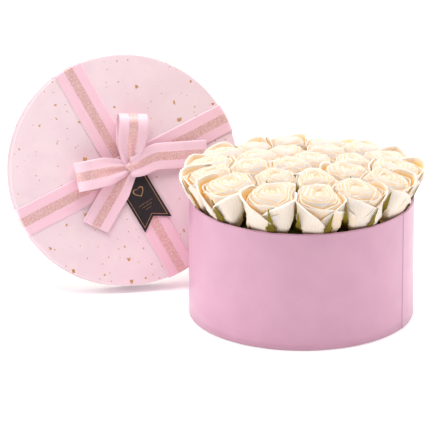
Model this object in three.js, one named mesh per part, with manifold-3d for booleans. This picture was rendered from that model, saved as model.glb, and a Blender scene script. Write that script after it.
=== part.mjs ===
// A round flower hat box: a paper-covered cardboard drum filled with cream roses in flower foam,
// and its shallow lid, taken off and leaning back behind the drum's left side.
// Millimetres, +Z up. The origin is the centre of the drum's underside, and -Y is the front.
import * as THREE from "three";
import { mergeVertices } from "three/addons/utils/BufferGeometryUtils.js";
import Module from "manifold-3d";

// Drum
const BOX_RADIUS = 130;
const BOX_HEIGHT = 140;
const WALL = 2.2;
const BASE_THICKNESS = 2.5;
const PAPER = 0.6;
const GAP = 0.3;
const ROUND_SIDES = 48;

// Flower foam
const FOAM_TOP = 104;
const FOAM_MARGIN = 1.0;
const STEM_RADIUS = 2.6;
const HOLE_RADIUS = 3.1;
const HOLE_SIDES = 8;
const STEM_LENGTH = 62;

// Roses: each ring's count, its radius half way up the heads, and the heads' lean away from the middle
const HEAD_RADIUS = 31;
const HEAD_HEIGHT = 50;
const HEAD_BASE = 130;
const RINGS = [
  { radius: 101, lean: 13, rise: 0, turns: [-106, -80, -54, -28, -3, 22, 47, 72, 97, 122, 147, 172, 197, 221] },
  { radius: 58, lean: 8, rise: 3.5, turns: [15, 60, 105, 150, 195, 240, 285, 330] },
  { radius: 20, lean: 2, rise: 5, turns: [50, 230] },
];
const RISE_TO_FRONT = 0.03;
const JITTER = { turn: 4, lean: 4, radius: 2, rise: 3 };
const SIZES = { least: 0.97, range: 0.08 };
const PETALS = 5;
const COLUMNS_PER_PETAL = 4;
const NEIGHBOUR_GAP = 0.5;
const SEPAL_ROOM = 2.5;
const SEED = 29;

// The mouth of the drum flares for the heads: they pass inside its rim and then overhang it
const MOUTH_CLEARANCE = 4;
const MOUTH_FLARE = 0.6;

// Lid, and its place: it stands on its open rim's edge, turned and leaning back
const LID_RADIUS = 135.5;
const LID_DEPTH = 28;
const LID_LEAN = 20;
const LID_TURN = 12;
const LID_X = -205;
const LID_Y = 96.9;
const LID_CLEARANCE = 1.5;

// Ribbons on the lid
const RIBBON_WIDTH = 35;
const RIBBON_THICKNESS = 0.6;
const RIBBON_TURNS = [-64, 23];
const RIBBON_TUCK = 14;
const RIBBON_CREST = { from: 40.6, to: 21.7 };

// Bow and tag, on the lid's face: places from its centre, +v up the face
const KNOT = { u: 5, v: 3, width: 15, height: 17, depth: 10.4, mouth: 4, mouthHalf: 1.5 };
const BOW_WIDTH = 34;
const BOW_GATHER = 13;
const BOW_FLARE = { over: 0.45, power: 0.7 };
const BOW_THICKNESS = 0.8;
const BOW_WELD = 0.02;
const LOOPS = [
  { turn: 85, length: 62, height: 25 },
  { turn: 189, length: 66, height: 24 },
];
const TAILS = [
  { turn: 239, length: 81, lift: 1.6, droop: 0 },
  { turn: 4, length: 93, lift: 6, droop: 3 },
];
const TAIL_SHAPE = { steps: 6, liftFrom: 0.3, widthFrom: 0.15, bulge: 1.2 };
const RUN_SHAPE = { parts: [0, 0.3, 0.7], rise: 0.6, width: 0.8, endSteps: 4 };
const TAG = { u: 2.4, v: -4.4, turn: -62.5, width: 37, length: 70, notch: 12, chamfer: 9, thickness: 0.8 };

const material = (color, roughness, metalness = 0) => new THREE.MeshStandardMaterial({ color, roughness, metalness });
const MATERIALS = {
  board: material(0xd9d2c6, 0.9),
  paper: material(0xe8bcd2, 0.65),
  foam: material(0x4f6b3a, 0.95),
  petal: material(0xfff3e2, 0.7),
  green: material(0x6f7420, 0.75),
  lid: material(0xf2dbe0, 0.6),
  ribbon: material(0xf7c6dc, 0.4),
  bow: material(0xf5b8d0, 0.35),
  card: material(0x17131a, 0.6),
};

const wasm = await Module();
wasm.setup();

const radians = THREE.MathUtils.degToRad;
const wallRadius = BOX_RADIUS - PAPER - GAP;
const group = new THREE.Group();

// A seeded random number from 0 to 1
let state = SEED;
function random() {
  state = (state * 16807) % 2147483647;
  return state / 2147483647;
}

function addMesh(name, geometry, finish, parent = group) {
  const mesh = new THREE.Mesh(geometry, finish.clone());
  mesh.name = name;
  parent.add(mesh);
  return mesh;
}

// A closed body from points and triangles of their numbers
function bodyOf(points, triangles) {
  const geometry = new THREE.BufferGeometry().setFromPoints(points);
  geometry.setIndex(triangles.flat());
  geometry.computeVertexNormals();
  return geometry;
}

function solidOf(geometry) {
  const bare = geometry.clone();
  bare.deleteAttribute("normal");
  bare.deleteAttribute("uv");
  const merged = mergeVertices(bare, 1e-3);
  return new wasm.Manifold(
    new wasm.Mesh({
      numProp: 3,
      vertProperties: merged.attributes.position.array,
      triVerts: new Uint32Array(merged.index.array),
    }),
  );
}

function geometryOf(solid) {
  const { vertProperties, triVerts } = solid.getMesh();
  const geometry = new THREE.BufferGeometry();
  geometry.setAttribute("position", new THREE.BufferAttribute(vertProperties, 3));
  geometry.setIndex(new THREE.BufferAttribute(triVerts, 1));
  geometry.computeVertexNormals();
  return geometry;
}

// A body turned about Z from a closed profile of [radius, height] points
function turned(profile, sides = ROUND_SIDES) {
  const closed = profile[0][0] === 0 ? profile : [...profile, profile[0]];
  const points = closed.map(([radius, height]) => new THREE.Vector2(radius, height));
  return new THREE.LatheGeometry(points, sides).rotateX(Math.PI / 2);
}

const disc = (radius, low, high) => turned([[0, low], [radius, low], [radius, high], [0, high]]);
const tube = (inner, outer, low, high) => turned([[inner, low], [outer, low], [outer, high], [inner, high]]);

// A closed body of rings of points that run up the outside and over to the middle
function ringed(bottom, rings, top) {
  const count = rings[0].length;
  const points = [bottom, ...rings.flat(), top];
  const at = (ring, i) => 1 + ring * count + (i % count);
  const triangles = [];
  for (let i = 0; i < count; i += 1) {
    triangles.push([0, at(0, i + 1), at(0, i)]);
    for (let ring = 0; ring + 1 < rings.length; ring += 1) {
      triangles.push([at(ring, i), at(ring, i + 1), at(ring + 1, i + 1)]);
      triangles.push([at(ring, i), at(ring + 1, i + 1), at(ring + 1, i)]);
    }
    triangles.push([points.length - 1, at(rings.length - 1, i), at(rings.length - 1, i + 1)]);
  }
  return bodyOf(points, triangles);
}

// A closed body between a front grid of points and a back grid of the same size
function between(front, back) {
  const rows = front.length;
  const across = front[0].length;
  const points = [...front.flat(), ...back.flat()];
  const at = (side, i, j) => side * rows * across + i * across + j;
  const triangles = [];
  const quad = (a, b, c, d) => triangles.push([a, b, c], [a, c, d]);
  for (let i = 0; i + 1 < rows; i += 1) {
    for (let j = 0; j + 1 < across; j += 1) {
      quad(at(0, i, j), at(0, i + 1, j), at(0, i + 1, j + 1), at(0, i, j + 1));
      quad(at(1, i, j), at(1, i, j + 1), at(1, i + 1, j + 1), at(1, i + 1, j));
    }
    quad(at(0, i, 0), at(1, i, 0), at(1, i + 1, 0), at(0, i + 1, 0));
    quad(at(0, i, across - 1), at(0, i + 1, across - 1), at(1, i + 1, across - 1), at(1, i, across - 1));
  }
  for (let j = 0; j + 1 < across; j += 1) {
    quad(at(0, 0, j), at(0, 0, j + 1), at(1, 0, j + 1), at(1, 0, j));
    quad(at(0, rows - 1, j), at(1, rows - 1, j), at(1, rows - 1, j + 1), at(0, rows - 1, j + 1));
  }
  return bodyOf(points, triangles);
}

// Lid's frame: u across the face, v up it, and the face's outward normal
const lean = radians(LID_LEAN);
const turn = radians(LID_TURN);
const lidNormal = new THREE.Vector3(
  Math.sin(turn) * Math.cos(lean),
  -Math.cos(turn) * Math.cos(lean),
  Math.sin(lean),
);
const lidAcross = new THREE.Vector3(Math.cos(turn), Math.sin(turn), 0);
const lidUp = new THREE.Vector3().crossVectors(lidNormal, lidAcross);
const lidCentre = new THREE.Vector3(LID_X, LID_Y, LID_RADIUS * Math.cos(lean) + LID_DEPTH * Math.sin(lean));

// Roses: every head's axis, from the rings
function roseAxes() {
  return RINGS.flatMap((ring) =>
    ring.turns.map((degrees) => {
      const angle = radians(degrees + JITTER.turn * (random() - 0.5));
      const outwards = new THREE.Vector3(Math.cos(angle), Math.sin(angle), 0);
      const tilt = radians(ring.lean + JITTER.lean * (random() - 0.5));
      const axis = outwards.clone().multiplyScalar(Math.sin(tilt));
      axis.z = Math.cos(tilt);
      const middle = outwards.clone().multiplyScalar(ring.radius + JITTER.radius * (random() - 0.5));
      middle.z = HEAD_BASE + HEAD_HEIGHT / 2 + ring.rise - RISE_TO_FRONT * middle.y + JITTER.rise * (random() - 0.5);
      const base = middle.clone().addScaledVector(axis, -HEAD_HEIGHT / 2);
      const side = new THREE.Vector3(0, 0, 1).cross(outwards).cross(axis).normalize();
      const across = axis.clone().cross(side);
      const spin = random() * 2 * Math.PI;
      const size = SIZES.least + SIZES.range * random();
      return { axis, base, middle, side, across, spin, size };
    }),
  );
}

// The planes half way to the other heads, the drum's mouth and the lid's face bound each head's room
function roomOf(rose, roses) {
  const planes = roses
    .filter((other) => other !== rose)
    .map((other) => {
      const along = rose.axis.clone().add(other.axis).normalize();
      const normal = other.middle.clone().sub(rose.middle);
      normal.addScaledVector(along, -normal.dot(along)).normalize();
      return { normal, point: rose.middle.clone().add(other.middle).multiplyScalar(0.5) };
    });
  const beforeLid = lidCentre.clone().addScaledVector(lidNormal, LID_CLEARANCE);
  planes.push({ normal: lidNormal.clone().negate(), point: beforeLid });
  return (p, margin) =>
    planes.every(({ normal, point }) => normal.dot(p) - normal.dot(point) <= -margin) &&
    Math.hypot(p.x, p.y) <= BOX_RADIUS - MOUTH_CLEARANCE - margin + MOUTH_FLARE * (p.z - BOX_HEIGHT - 1);
}

// The furthest a point may go from a head's axis towards its wanted radius
function reach(rose, inside, height, angle, radius, margin) {
  const start = rose.base.clone().addScaledVector(rose.axis, height);
  const out = rose.side.clone().multiplyScalar(Math.cos(angle)).addScaledVector(rose.across, Math.sin(angle));
  const at = (r) => start.clone().addScaledVector(out, r);
  if (inside(at(radius), margin)) return radius;
  let [low, high] = [0, radius];
  for (let step = 0; step < 18; step += 1) {
    const middle = (low + high) / 2;
    if (inside(at(middle), margin)) low = middle;
    else high = middle;
  }
  return low;
}

function pointOn(rose, height, angle, radius) {
  return rose.base
    .clone()
    .addScaledVector(rose.axis, height)
    .addScaledVector(rose.side, radius * Math.cos(angle))
    .addScaledVector(rose.across, radius * Math.sin(angle));
}

// Rings of a head, as parts of its radius and height: the cup's outside, and then a lip and a groove
// for each layer of petals. A layer's petals overlap by their sawtooth, rise to a point in their middle
// and start a little further round than those outside them.
const CUP = [
  { r: 0.15, z: 0 },
  { r: 0.7, z: 0.2 },
  { r: 0.93, z: 0.55 },
];
const LAYERS = [
  { r: 1.08, z: 0.8, overlap: 0.07, point: 0.09, curl: 0.1, shift: 0 },
  { r: 0.79, z: 0.74, overlap: 0.03, point: 0, curl: 0, shift: 0 },
  { r: 0.78, z: 0.94, overlap: 0.07, point: 0.07, curl: 0.05, shift: 1 },
  { r: 0.54, z: 0.84, overlap: 0.03, point: 0, curl: 0, shift: 1 },
  { r: 0.5, z: 1.0, overlap: 0.08, point: 0.05, curl: 0.02, shift: 3 },
  { r: 0.24, z: 0.88, overlap: 0.03, point: 0, curl: 0, shift: 3 },
];
const HEART = 1.0;

function bloomGeometry(rose, inside) {
  const columns = PETALS * COLUMNS_PER_PETAL;
  const angles = Array.from({ length: columns }, (_, i) => rose.spin + (i * 2 * Math.PI) / columns);
  const radius = HEAD_RADIUS * rose.size;
  const cup = CUP.map(({ r, z }) =>
    angles.map((angle) => {
      const height = z * HEAD_HEIGHT;
      return pointOn(rose, height, angle, reach(rose, inside, height, angle, r * radius, SEPAL_ROOM));
    }),
  );
  const lip = LAYERS[0];
  const squeeze = angles.map((angle) => {
    const wanted = (lip.r + lip.overlap + lip.curl) * radius;
    const lowest = reach(rose, inside, (lip.z - lip.point) * HEAD_HEIGHT, angle, wanted, NEIGHBOUR_GAP / 2);
    const highest = reach(rose, inside, (lip.z + lip.point) * HEAD_HEIGHT, angle, wanted, NEIGHBOUR_GAP / 2);
    return Math.min(lowest, highest) / wanted;
  });
  const layers = LAYERS.map(({ r, z, overlap, point, curl, shift }) =>
    angles.map((angle, i) => {
      const across = ((i + shift) % COLUMNS_PER_PETAL) / (COLUMNS_PER_PETAL - 1);
      const rise = Math.sin(Math.PI * across) ** 2;
      const part = r + overlap * (1 - 2 * across) + curl * (rise - 0.3);
      return pointOn(rose, (z + point * (rise - 0.6)) * HEAD_HEIGHT, angle, part * radius * squeeze[i]);
    }),
  );
  return ringed(pointOn(rose, 0, 0, 0), [...cup, ...layers], pointOn(rose, HEART * HEAD_HEIGHT, 0, 0));
}

// Calyx and stem in one body: a stem that widens to a core, and five sepals that grow out of the
// core's rim and lie against the cup's outside, each widest at the cup's belly and then tapering to a tip
const SEPAL = {
  turns: [0, -0.1, 0.1, -0.2, 0.2, -0.3, 0.3],
  clear: 1.2,
  thickness: 0.8,
  rootHalf: 0.3,
  half: 0.15,
  backHalf: 0.08,
  tip: 0.62,
  tipStand: 1.5,
};
const CORE = { top: -0.5, mouth: -1.7, rim: -4, neck: -12, width: 0.22 };

function calyxGeometry(rose, inside) {
  const radius = HEAD_RADIUS * rose.size;
  const coreRadius = CORE.width * radius;
  const cupAt = (part, angle) => {
    const [low, high] = [CUP[1], CUP[2]].map(({ r, z }) => ({
      z: z * HEAD_HEIGHT,
      r: reach(rose, inside, z * HEAD_HEIGHT, angle, r * radius, SEPAL_ROOM),
    }));
    return { z: low.z + part * (high.z - low.z), r: low.r + part * (high.r - low.r) };
  };
  // Each sepal turns a little from its fifth of the way round to where the cup is most pressed in
  const middles = Array.from({ length: PETALS }, (_, k) => {
    const even = rose.spin + ((k + 0.5) * 2 * Math.PI) / PETALS;
    const tries = SEPAL.turns.map((aside) => {
      const angle = even + aside;
      return { angle, r: cupAt(0, angle).r + Math.abs(aside) };
    });
    return tries.reduce((best, next) => (next.r < best.r ? next : best)).angle;
  });
  const angles = middles.flatMap((middle) => [middle - SEPAL.rootHalf, middle + SEPAL.rootHalf]);
  const ring = (height, r) => angles.map((angle) => pointOn(rose, height, angle, r));
  const rings = [
    ring(-STEM_LENGTH, STEM_RADIUS),
    ring(CORE.neck, STEM_RADIUS),
    ring(CORE.rim, coreRadius),
    ring(CORE.mouth, 0.8 * coreRadius),
  ];
  const points = [pointOn(rose, -STEM_LENGTH, 0, 0), ...rings.flat(), pointOn(rose, CORE.top, 0, 0)];
  const top = points.length - 1;
  const at = (row, i) => 1 + row * angles.length + (i % angles.length);
  const triangles = [];
  const quad = (a, b, c, d) => triangles.push([a, b, c], [a, c, d]);
  for (let i = 0; i < angles.length; i += 1) {
    triangles.push([0, at(0, i + 1), at(0, i)], [top, at(3, i), at(3, i + 1)]);
    quad(at(0, i), at(0, i + 1), at(1, i + 1), at(1, i));
    quad(at(1, i), at(1, i + 1), at(2, i + 1), at(2, i));
    const growsSepal = i % 2 === 0;
    if (!growsSepal) quad(at(2, i), at(2, i + 1), at(3, i + 1), at(3, i));
  }
  middles.forEach((middle, k) => {
    const belly = [
      [-SEPAL.backHalf, SEPAL.clear + SEPAL.thickness],
      [SEPAL.backHalf, SEPAL.clear + SEPAL.thickness],
      [SEPAL.half, SEPAL.clear],
      [-SEPAL.half, SEPAL.clear],
    ].map(([aside, stand]) => {
      const place = cupAt(0, middle + aside);
      const clearOfMiddle = cupAt(0, middle).r / Math.cos(aside);
      return pointOn(rose, place.z, middle + aside, Math.max(place.r, clearOfMiddle) + stand);
    });
    const end = cupAt(SEPAL.tip, middle);
    const first = points.length;
    points.push(...belly, pointOn(rose, end.z, middle, end.r + SEPAL.tipStand));
    const root = [at(2, 2 * k), at(2, 2 * k + 1), at(3, 2 * k + 1), at(3, 2 * k)];
    root.forEach((corner, i) => {
      const next = (i + 1) % root.length;
      quad(corner, root[next], first + next, first + i);
      triangles.push([first + i, first + next, first + root.length]);
    });
  });
  return bodyOf(points, triangles);
}

function foamGeometry(roses) {
  let solid = solidOf(disc(wallRadius - WALL - FOAM_MARGIN, BASE_THICKNESS + GAP, FOAM_TOP));
  for (const rose of roses) {
    const depth = STEM_LENGTH + CORE.neck + GAP;
    const hole = new THREE.CylinderGeometry(HOLE_RADIUS, HOLE_RADIUS, depth, HOLE_SIDES);
    hole.rotateX(Math.PI / 2);
    hole.applyMatrix4(new THREE.Matrix4().makeBasis(rose.side, rose.across, rose.axis));
    const middle = pointOn(rose, CORE.neck - depth / 2, 0, 0);
    hole.translate(middle.x, middle.y, middle.z);
    solid = solid.subtract(solidOf(hole));
  }
  return geometryOf(solid);
}

// A striped ribbon over the lid: from inside the rim, round it, up the band, over the face and back
function lidRibbon(degrees, over) {
  const wrapRadius = LID_RADIUS + GAP;
  const crest = over ? RIBBON_THICKNESS + GAP : 0;
  const tuckRadius = LID_RADIUS - WALL - GAP;
  const half = [
    { r: tuckRadius, z: -LID_DEPTH + RIBBON_TUCK, out: [-1, 0] },
    { r: tuckRadius, z: -LID_DEPTH - GAP, out: [-1, -1] },
    { r: wrapRadius, z: -LID_DEPTH - GAP, out: [1, -1] },
    { r: wrapRadius, z: GAP, out: [1, 1] },
    { r: RIBBON_CREST.from, z: GAP, out: [0, 1] },
    { r: RIBBON_CREST.to, z: GAP + crest, out: [0, 1] },
  ];
  const path = [...half.map((p) => ({ ...p, sign: -1 })), ...half.toReversed().map((p) => ({ ...p, sign: 1 }))];
  const offsets = Array.from({ length: 5 }, (_, i) => (i / 4 - 0.5) * RIBBON_WIDTH);
  const angle = radians(degrees);
  const face = (lift) =>
    path.map(({ r, z, out, sign }) =>
      offsets.map((offset) => {
        const onRim = r >= tuckRadius ? Math.sqrt((r + lift * out[0]) ** 2 - offset ** 2) : r;
        const along = sign * onRim;
        return new THREE.Vector3(
          along * Math.cos(angle) - offset * Math.sin(angle),
          along * Math.sin(angle) + offset * Math.cos(angle),
          z + lift * out[1],
        );
      }),
    );
  return between(face(RIBBON_THICKNESS), face(0));
}

// Half of a band's width, from the gathered knot to its full width
function widthAt(part) {
  const open = Math.min(1, part / BOW_FLARE.over) ** BOW_FLARE.power;
  return (BOW_GATHER + (BOW_WIDTH - BOW_GATHER) * open) / 2;
}

// A band of ribbon along a path of { along, height, part } in the plane that leaves the knot at a turn
function band(path, degrees, bulge) {
  const angle = radians(degrees);
  const rows = path.map((place, i) => {
    const before = path[Math.max(0, i - 1)];
    const after = path[Math.min(path.length - 1, i + 1)];
    const slope = new THREE.Vector2(after.along - before.along, after.height - before.height).normalize();
    return { ...place, normal: new THREE.Vector2(-slope.y, slope.x) };
  });
  const side = (lift) =>
    rows.map(({ along, height, part, normal }) =>
      [-1, 0, 1].map((j) => {
        const offset = j * widthAt(part);
        const a = along + lift * normal.x;
        const h = height + lift * normal.y + bulge * (1 - j * j) * Math.sin(Math.PI * Math.min(1, part));
        return new THREE.Vector3(
          KNOT.u + a * Math.cos(angle) - offset * Math.sin(angle),
          KNOT.v + a * Math.sin(angle) + offset * Math.cos(angle),
          h,
        );
      }),
    );
  return between(side(BOW_THICKNESS), side(0));
}

// A loop: out from the knot near the lid, round its end and back to the knot above
function loopGeometry({ turn: degrees, length, height }, floor) {
  const { lerp } = THREE.MathUtils;
  const round = height / 2;
  const end = length - round;
  const middle = floor + KNOT.mouth;
  const run = (part, from, to) => ({
    along: part * end,
    height: lerp(from, to, part ** RUN_SHAPE.rise),
    part: part * RUN_SHAPE.width,
  });
  const low = RUN_SHAPE.parts.map((part) => run(part, middle - KNOT.mouthHalf, floor));
  const high = RUN_SHAPE.parts.map((part) => run(part, middle + KNOT.mouthHalf, floor + height));
  const far = Array.from({ length: RUN_SHAPE.endSteps + 1 }, (_, i) => {
    const angle = Math.PI * (i / RUN_SHAPE.endSteps - 0.5);
    return {
      along: end + round * Math.cos(angle),
      height: floor + round + round * Math.sin(angle),
      part: 1,
    };
  });
  return band([...low, ...far, ...high.toReversed()].toReversed(), degrees, 0);
}

// A tail: from the knot down to the lid's face, or a little above it
function tailGeometry({ turn: degrees, length, lift, droop }, floor) {
  const path = Array.from({ length: TAIL_SHAPE.steps + 1 }, (_, i) => {
    const part = i / TAIL_SHAPE.steps;
    const swell = Math.sin(Math.PI * Math.min(1, TAIL_SHAPE.liftFrom + part));
    return { along: length * part, height: floor + lift * swell + droop * part, part: TAIL_SHAPE.widthFrom + part };
  });
  return band(path, degrees, TAIL_SHAPE.bulge);
}

function bowGeometry(floor) {
  const knot = new THREE.SphereGeometry(0.5, 10, 6).scale(KNOT.width, KNOT.height, KNOT.depth);
  knot.translate(KNOT.u, KNOT.v, floor + KNOT.depth / 2);
  let solid = solidOf(knot);
  for (const loop of LOOPS) solid = solid.add(solidOf(loopGeometry(loop, floor)));
  for (const tail of TAILS) solid = solid.add(solidOf(tailGeometry(tail, floor)));
  return geometryOf(solid.simplify(BOW_WELD));
}

// The tag's outline runs from its chamfered top down to its swallow tail
function tagGeometry() {
  const half = TAG.width / 2;
  const outline = new THREE.Shape([
    new THREE.Vector2(0, -half + TAG.chamfer),
    new THREE.Vector2(TAG.chamfer, -half),
    new THREE.Vector2(TAG.length, -half),
    new THREE.Vector2(TAG.length - TAG.notch, 0),
    new THREE.Vector2(TAG.length, half),
    new THREE.Vector2(TAG.chamfer, half),
    new THREE.Vector2(0, half - TAG.chamfer),
  ]);
  return new THREE.ExtrudeGeometry(outline, { depth: TAG.thickness, bevelEnabled: false });
}

addMesh("box_wall", tube(wallRadius - WALL, wallRadius, 0, BOX_HEIGHT), MATERIALS.board);
addMesh("box_base", disc(wallRadius - WALL - GAP, 0, BASE_THICKNESS), MATERIALS.board);
addMesh("box_paper", tube(BOX_RADIUS - PAPER, BOX_RADIUS, GAP, BOX_HEIGHT), MATERIALS.paper);

const roses = roseAxes();
addMesh("foam", foamGeometry(roses), MATERIALS.foam);
roses.forEach((rose, i) => {
  const label = String(i + 1).padStart(2, "0");
  const inside = roomOf(rose, roses);
  addMesh("bloom_" + label, bloomGeometry(rose, inside), MATERIALS.petal);
  addMesh("calyx_" + label, calyxGeometry(rose, inside), MATERIALS.green);
});

const lid = new THREE.Group();
lid.setRotationFromMatrix(new THREE.Matrix4().makeBasis(lidAcross, lidUp, lidNormal));
lid.position.copy(lidCentre);
group.add(lid);
addMesh("lid_disc", disc(LID_RADIUS, -WALL, 0), MATERIALS.lid, lid);
addMesh("lid_band", tube(LID_RADIUS - WALL, LID_RADIUS, -LID_DEPTH, -WALL - GAP), MATERIALS.lid, lid);
addMesh("ribbon_under", lidRibbon(RIBBON_TURNS[0], false), MATERIALS.ribbon, lid);
addMesh("ribbon_over", lidRibbon(RIBBON_TURNS[1], true), MATERIALS.ribbon, lid);

const crossing = 2 * (RIBBON_THICKNESS + GAP) + GAP;
const tag = addMesh("tag", tagGeometry(), MATERIALS.card, lid);
tag.position.set(TAG.u, TAG.v, crossing);
tag.rotation.z = radians(TAG.turn);
addMesh("bow", bowGeometry(crossing + TAG.thickness + GAP), MATERIALS.bow, lid);

export default group;
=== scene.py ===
"""A round flower hat box: a paper-covered drum of cream roses, and its ribboned lid behind it.

Lengths are millimetres in the drum's frame, +Z up and -Y to the front, and become metres when a
mesh is made. The drum stands on the floor at the origin, and the lid leans on its open rim behind
the drum's left side.
"""

import logging
import math
from dataclasses import dataclass, field
from enum import Enum

import bpy
import numpy as np
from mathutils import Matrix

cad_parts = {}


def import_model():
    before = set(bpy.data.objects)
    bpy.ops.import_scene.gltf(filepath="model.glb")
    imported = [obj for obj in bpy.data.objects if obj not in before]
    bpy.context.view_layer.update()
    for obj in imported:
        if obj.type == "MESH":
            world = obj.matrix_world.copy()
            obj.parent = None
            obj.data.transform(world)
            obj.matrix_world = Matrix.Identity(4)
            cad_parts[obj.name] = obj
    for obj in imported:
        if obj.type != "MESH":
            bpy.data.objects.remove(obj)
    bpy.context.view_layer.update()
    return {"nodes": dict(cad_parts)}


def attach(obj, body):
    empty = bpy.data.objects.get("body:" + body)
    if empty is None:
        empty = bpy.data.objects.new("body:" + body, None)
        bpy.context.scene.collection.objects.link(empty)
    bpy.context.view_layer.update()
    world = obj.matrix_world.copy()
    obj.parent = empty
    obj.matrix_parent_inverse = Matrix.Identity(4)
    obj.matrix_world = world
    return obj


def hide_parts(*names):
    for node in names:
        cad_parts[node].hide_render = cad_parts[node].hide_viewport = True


LOG = logging.getLogger("flower_hat_box")
MM = 0.001
FULL_TURN = 2 * math.pi
ANY_PHASE = 6.3
Array = np.ndarray
Color = tuple[float, ...]
Material = bpy.types.Material
Outputs = bpy.types.NodeOutputs
Pair = tuple[float, float]
Piece = bpy.types.Object
Random = np.random.Generator
Socket = bpy.types.NodeSocket
Tree = bpy.types.NodeTree


# Small helpers


def linear(red: int, green: int, blue: int) -> Color:
    """The linear parts of an 8-bit screen colour, by the usual screen curve, and an opacity."""
    part = np.array([red, green, blue]) / 255
    return (*np.where(part <= 0.04045, part / 12.92, ((part + 0.055) / 1.055) ** 2.4).tolist(), 1.0)


def eased(low: float, high: float, value: Array) -> Array:
    """A smooth step from 0 at low to 1 at high: 3 t squared minus 2 t cubed."""
    t = np.clip((value - low) / (high - low), 0, 1)
    return t * t * (3 - 2 * t)


def blend(first: Array, second: Array, share: Array) -> Array:
    """A value between two: the first and a share of the way to the second."""
    return first + (second - first) * share


def unit(vectors: Array) -> Array:
    """Vectors along the last axis, each made one long."""
    return vectors / np.maximum(np.linalg.norm(vectors, axis=-1, keepdims=True), 1e-12)


def lengths(first: Array, second: Array) -> Array:
    """How far along a flat path each of its points lies, from its two rows of distances."""
    return np.concatenate([[0], np.cumsum(np.hypot(np.diff(first), np.diff(second)))])


@dataclass(frozen=True)
class Vary:
    """Seeded variations, one for each petal or leaf of a group."""

    draws: Random
    count: int

    def __call__(self, width: float) -> Array:
        """The next numbers within half a width of nought, one along the first axis for each."""
        return width * (self.draws.random((self.count, 1, 1)) - 0.5)


# Frames and the room of a head


@dataclass(frozen=True)
class LidFrame:
    """The lid's place: u runs across its face, v up it, and the normal out of it.

    The lid stands on its open rim, turned about the vertical and leaning back.
    """

    radius: float = 135.5
    depth: float = 28.0
    wall: float = 2.2
    lean: float = 20.0
    turn: float = 12.0
    x: float = -205.0
    y: float = 96.9

    @property
    def normal(self) -> Array:
        """The way out of the face.

        Returns:
            The face's outward normal.
        """
        lean, turn = math.radians(self.lean), math.radians(self.turn)
        flat = math.cos(lean)
        return np.array([math.sin(turn) * flat, -math.cos(turn) * flat, math.sin(lean)])

    @property
    def across(self) -> Array:
        """The direction of u."""
        turn = math.radians(self.turn)
        return np.array([math.cos(turn), math.sin(turn), 0.0])

    @property
    def up(self) -> Array:
        """The direction of v."""
        return np.cross(self.normal, self.across)

    @property
    def centre(self) -> Array:
        """The middle of the face.

        Returns:
            The point, high enough for the open rim to stand on the floor.
        """
        lean = math.radians(self.lean)
        rise = self.radius * math.cos(lean) + self.depth * math.sin(lean)
        return np.array([self.x, self.y, rise])

    def place(self, u: Array, v: Array, height: Array) -> Array:
        """Points on the lid.

        Args:
            u: distance across the face from its middle.
            v: distance up the face from its middle.
            height: distance out of the face.

        Returns:
            Points in the drum's frame, with x, y and z along a new last axis.
        """
        u, v, height = np.broadcast_arrays(u, v, height)
        flat = u[..., None] * self.across + v[..., None] * self.up
        return self.centre + flat + height[..., None] * self.normal

    def place_along(
        self, start: Pair, turn: float, along: Array, aside: Array, height: Array
    ) -> Array:
        """Points on the lid, told along a line on its face and aside from it.

        Args:
            start: the line's start, across and up the face.
            turn: the line's direction in degrees.
            along: distance along the line.
            aside: distance to its left.
            height: distance out of the face.

        Returns:
            Points as place gives them.
        """
        cosine, sine = math.cos(math.radians(turn)), math.sin(math.radians(turn))
        u = start[0] + along * cosine - aside * sine
        v = start[1] + along * sine + aside * cosine
        return self.place(u, v, height)


@dataclass
class Draws:
    """The draws that place the roses: each state is a factor times the last, modulo a prime."""

    state: int
    factor: int = 16807
    prime: int = 2**31 - 1

    def part(self) -> float:
        """The next number from 0 to 1."""
        self.state = self.state * self.factor % self.prime
        return self.state / self.prime

    def around(self, width: float) -> float:
        """The next number within half a width of nought."""
        return width * (self.part() - 0.5)


@dataclass(frozen=True)
class Ring:
    """One ring of heads: its radius half way up them, their lean outwards, rise and turns."""

    radius: float
    lean: float
    rise: float
    turns: tuple[int, ...]


@dataclass(frozen=True)
class Rose:
    """One head's place: its axis, its base, its middle and the two directions across it."""

    number: int
    axis: Array
    base: Array
    middle: Array
    side: Array
    across: Array
    spin: float
    size: float

    @property
    def label(self) -> str:
        """The head's number as its solids' names give it."""
        return f"{self.number:02d}"

    def share(self, times: float) -> float:
        """A number from 0 to 1 that is the head's own: the fraction of its spin times this."""
        return math.modf(self.spin * times)[0]

    def out(self, angle: Array) -> Array:
        """Unit vectors away from the axis at these angles."""
        return np.cos(angle)[..., None] * self.side + np.sin(angle)[..., None] * self.across

    def points(self, radius: Array, angle: Array, height: Array) -> Array:
        """Points at a radius, angle and height in the head's own round frame."""
        radius, angle, height = np.broadcast_arrays(radius, angle, height)
        return self.base + height[..., None] * self.axis + radius[..., None] * self.out(angle)

    def poles(self, low: float, high: float) -> Array:
        """The two points of the axis at these heights."""
        return self.points(np.zeros(2), np.zeros(2), np.array([low, high]))


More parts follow.
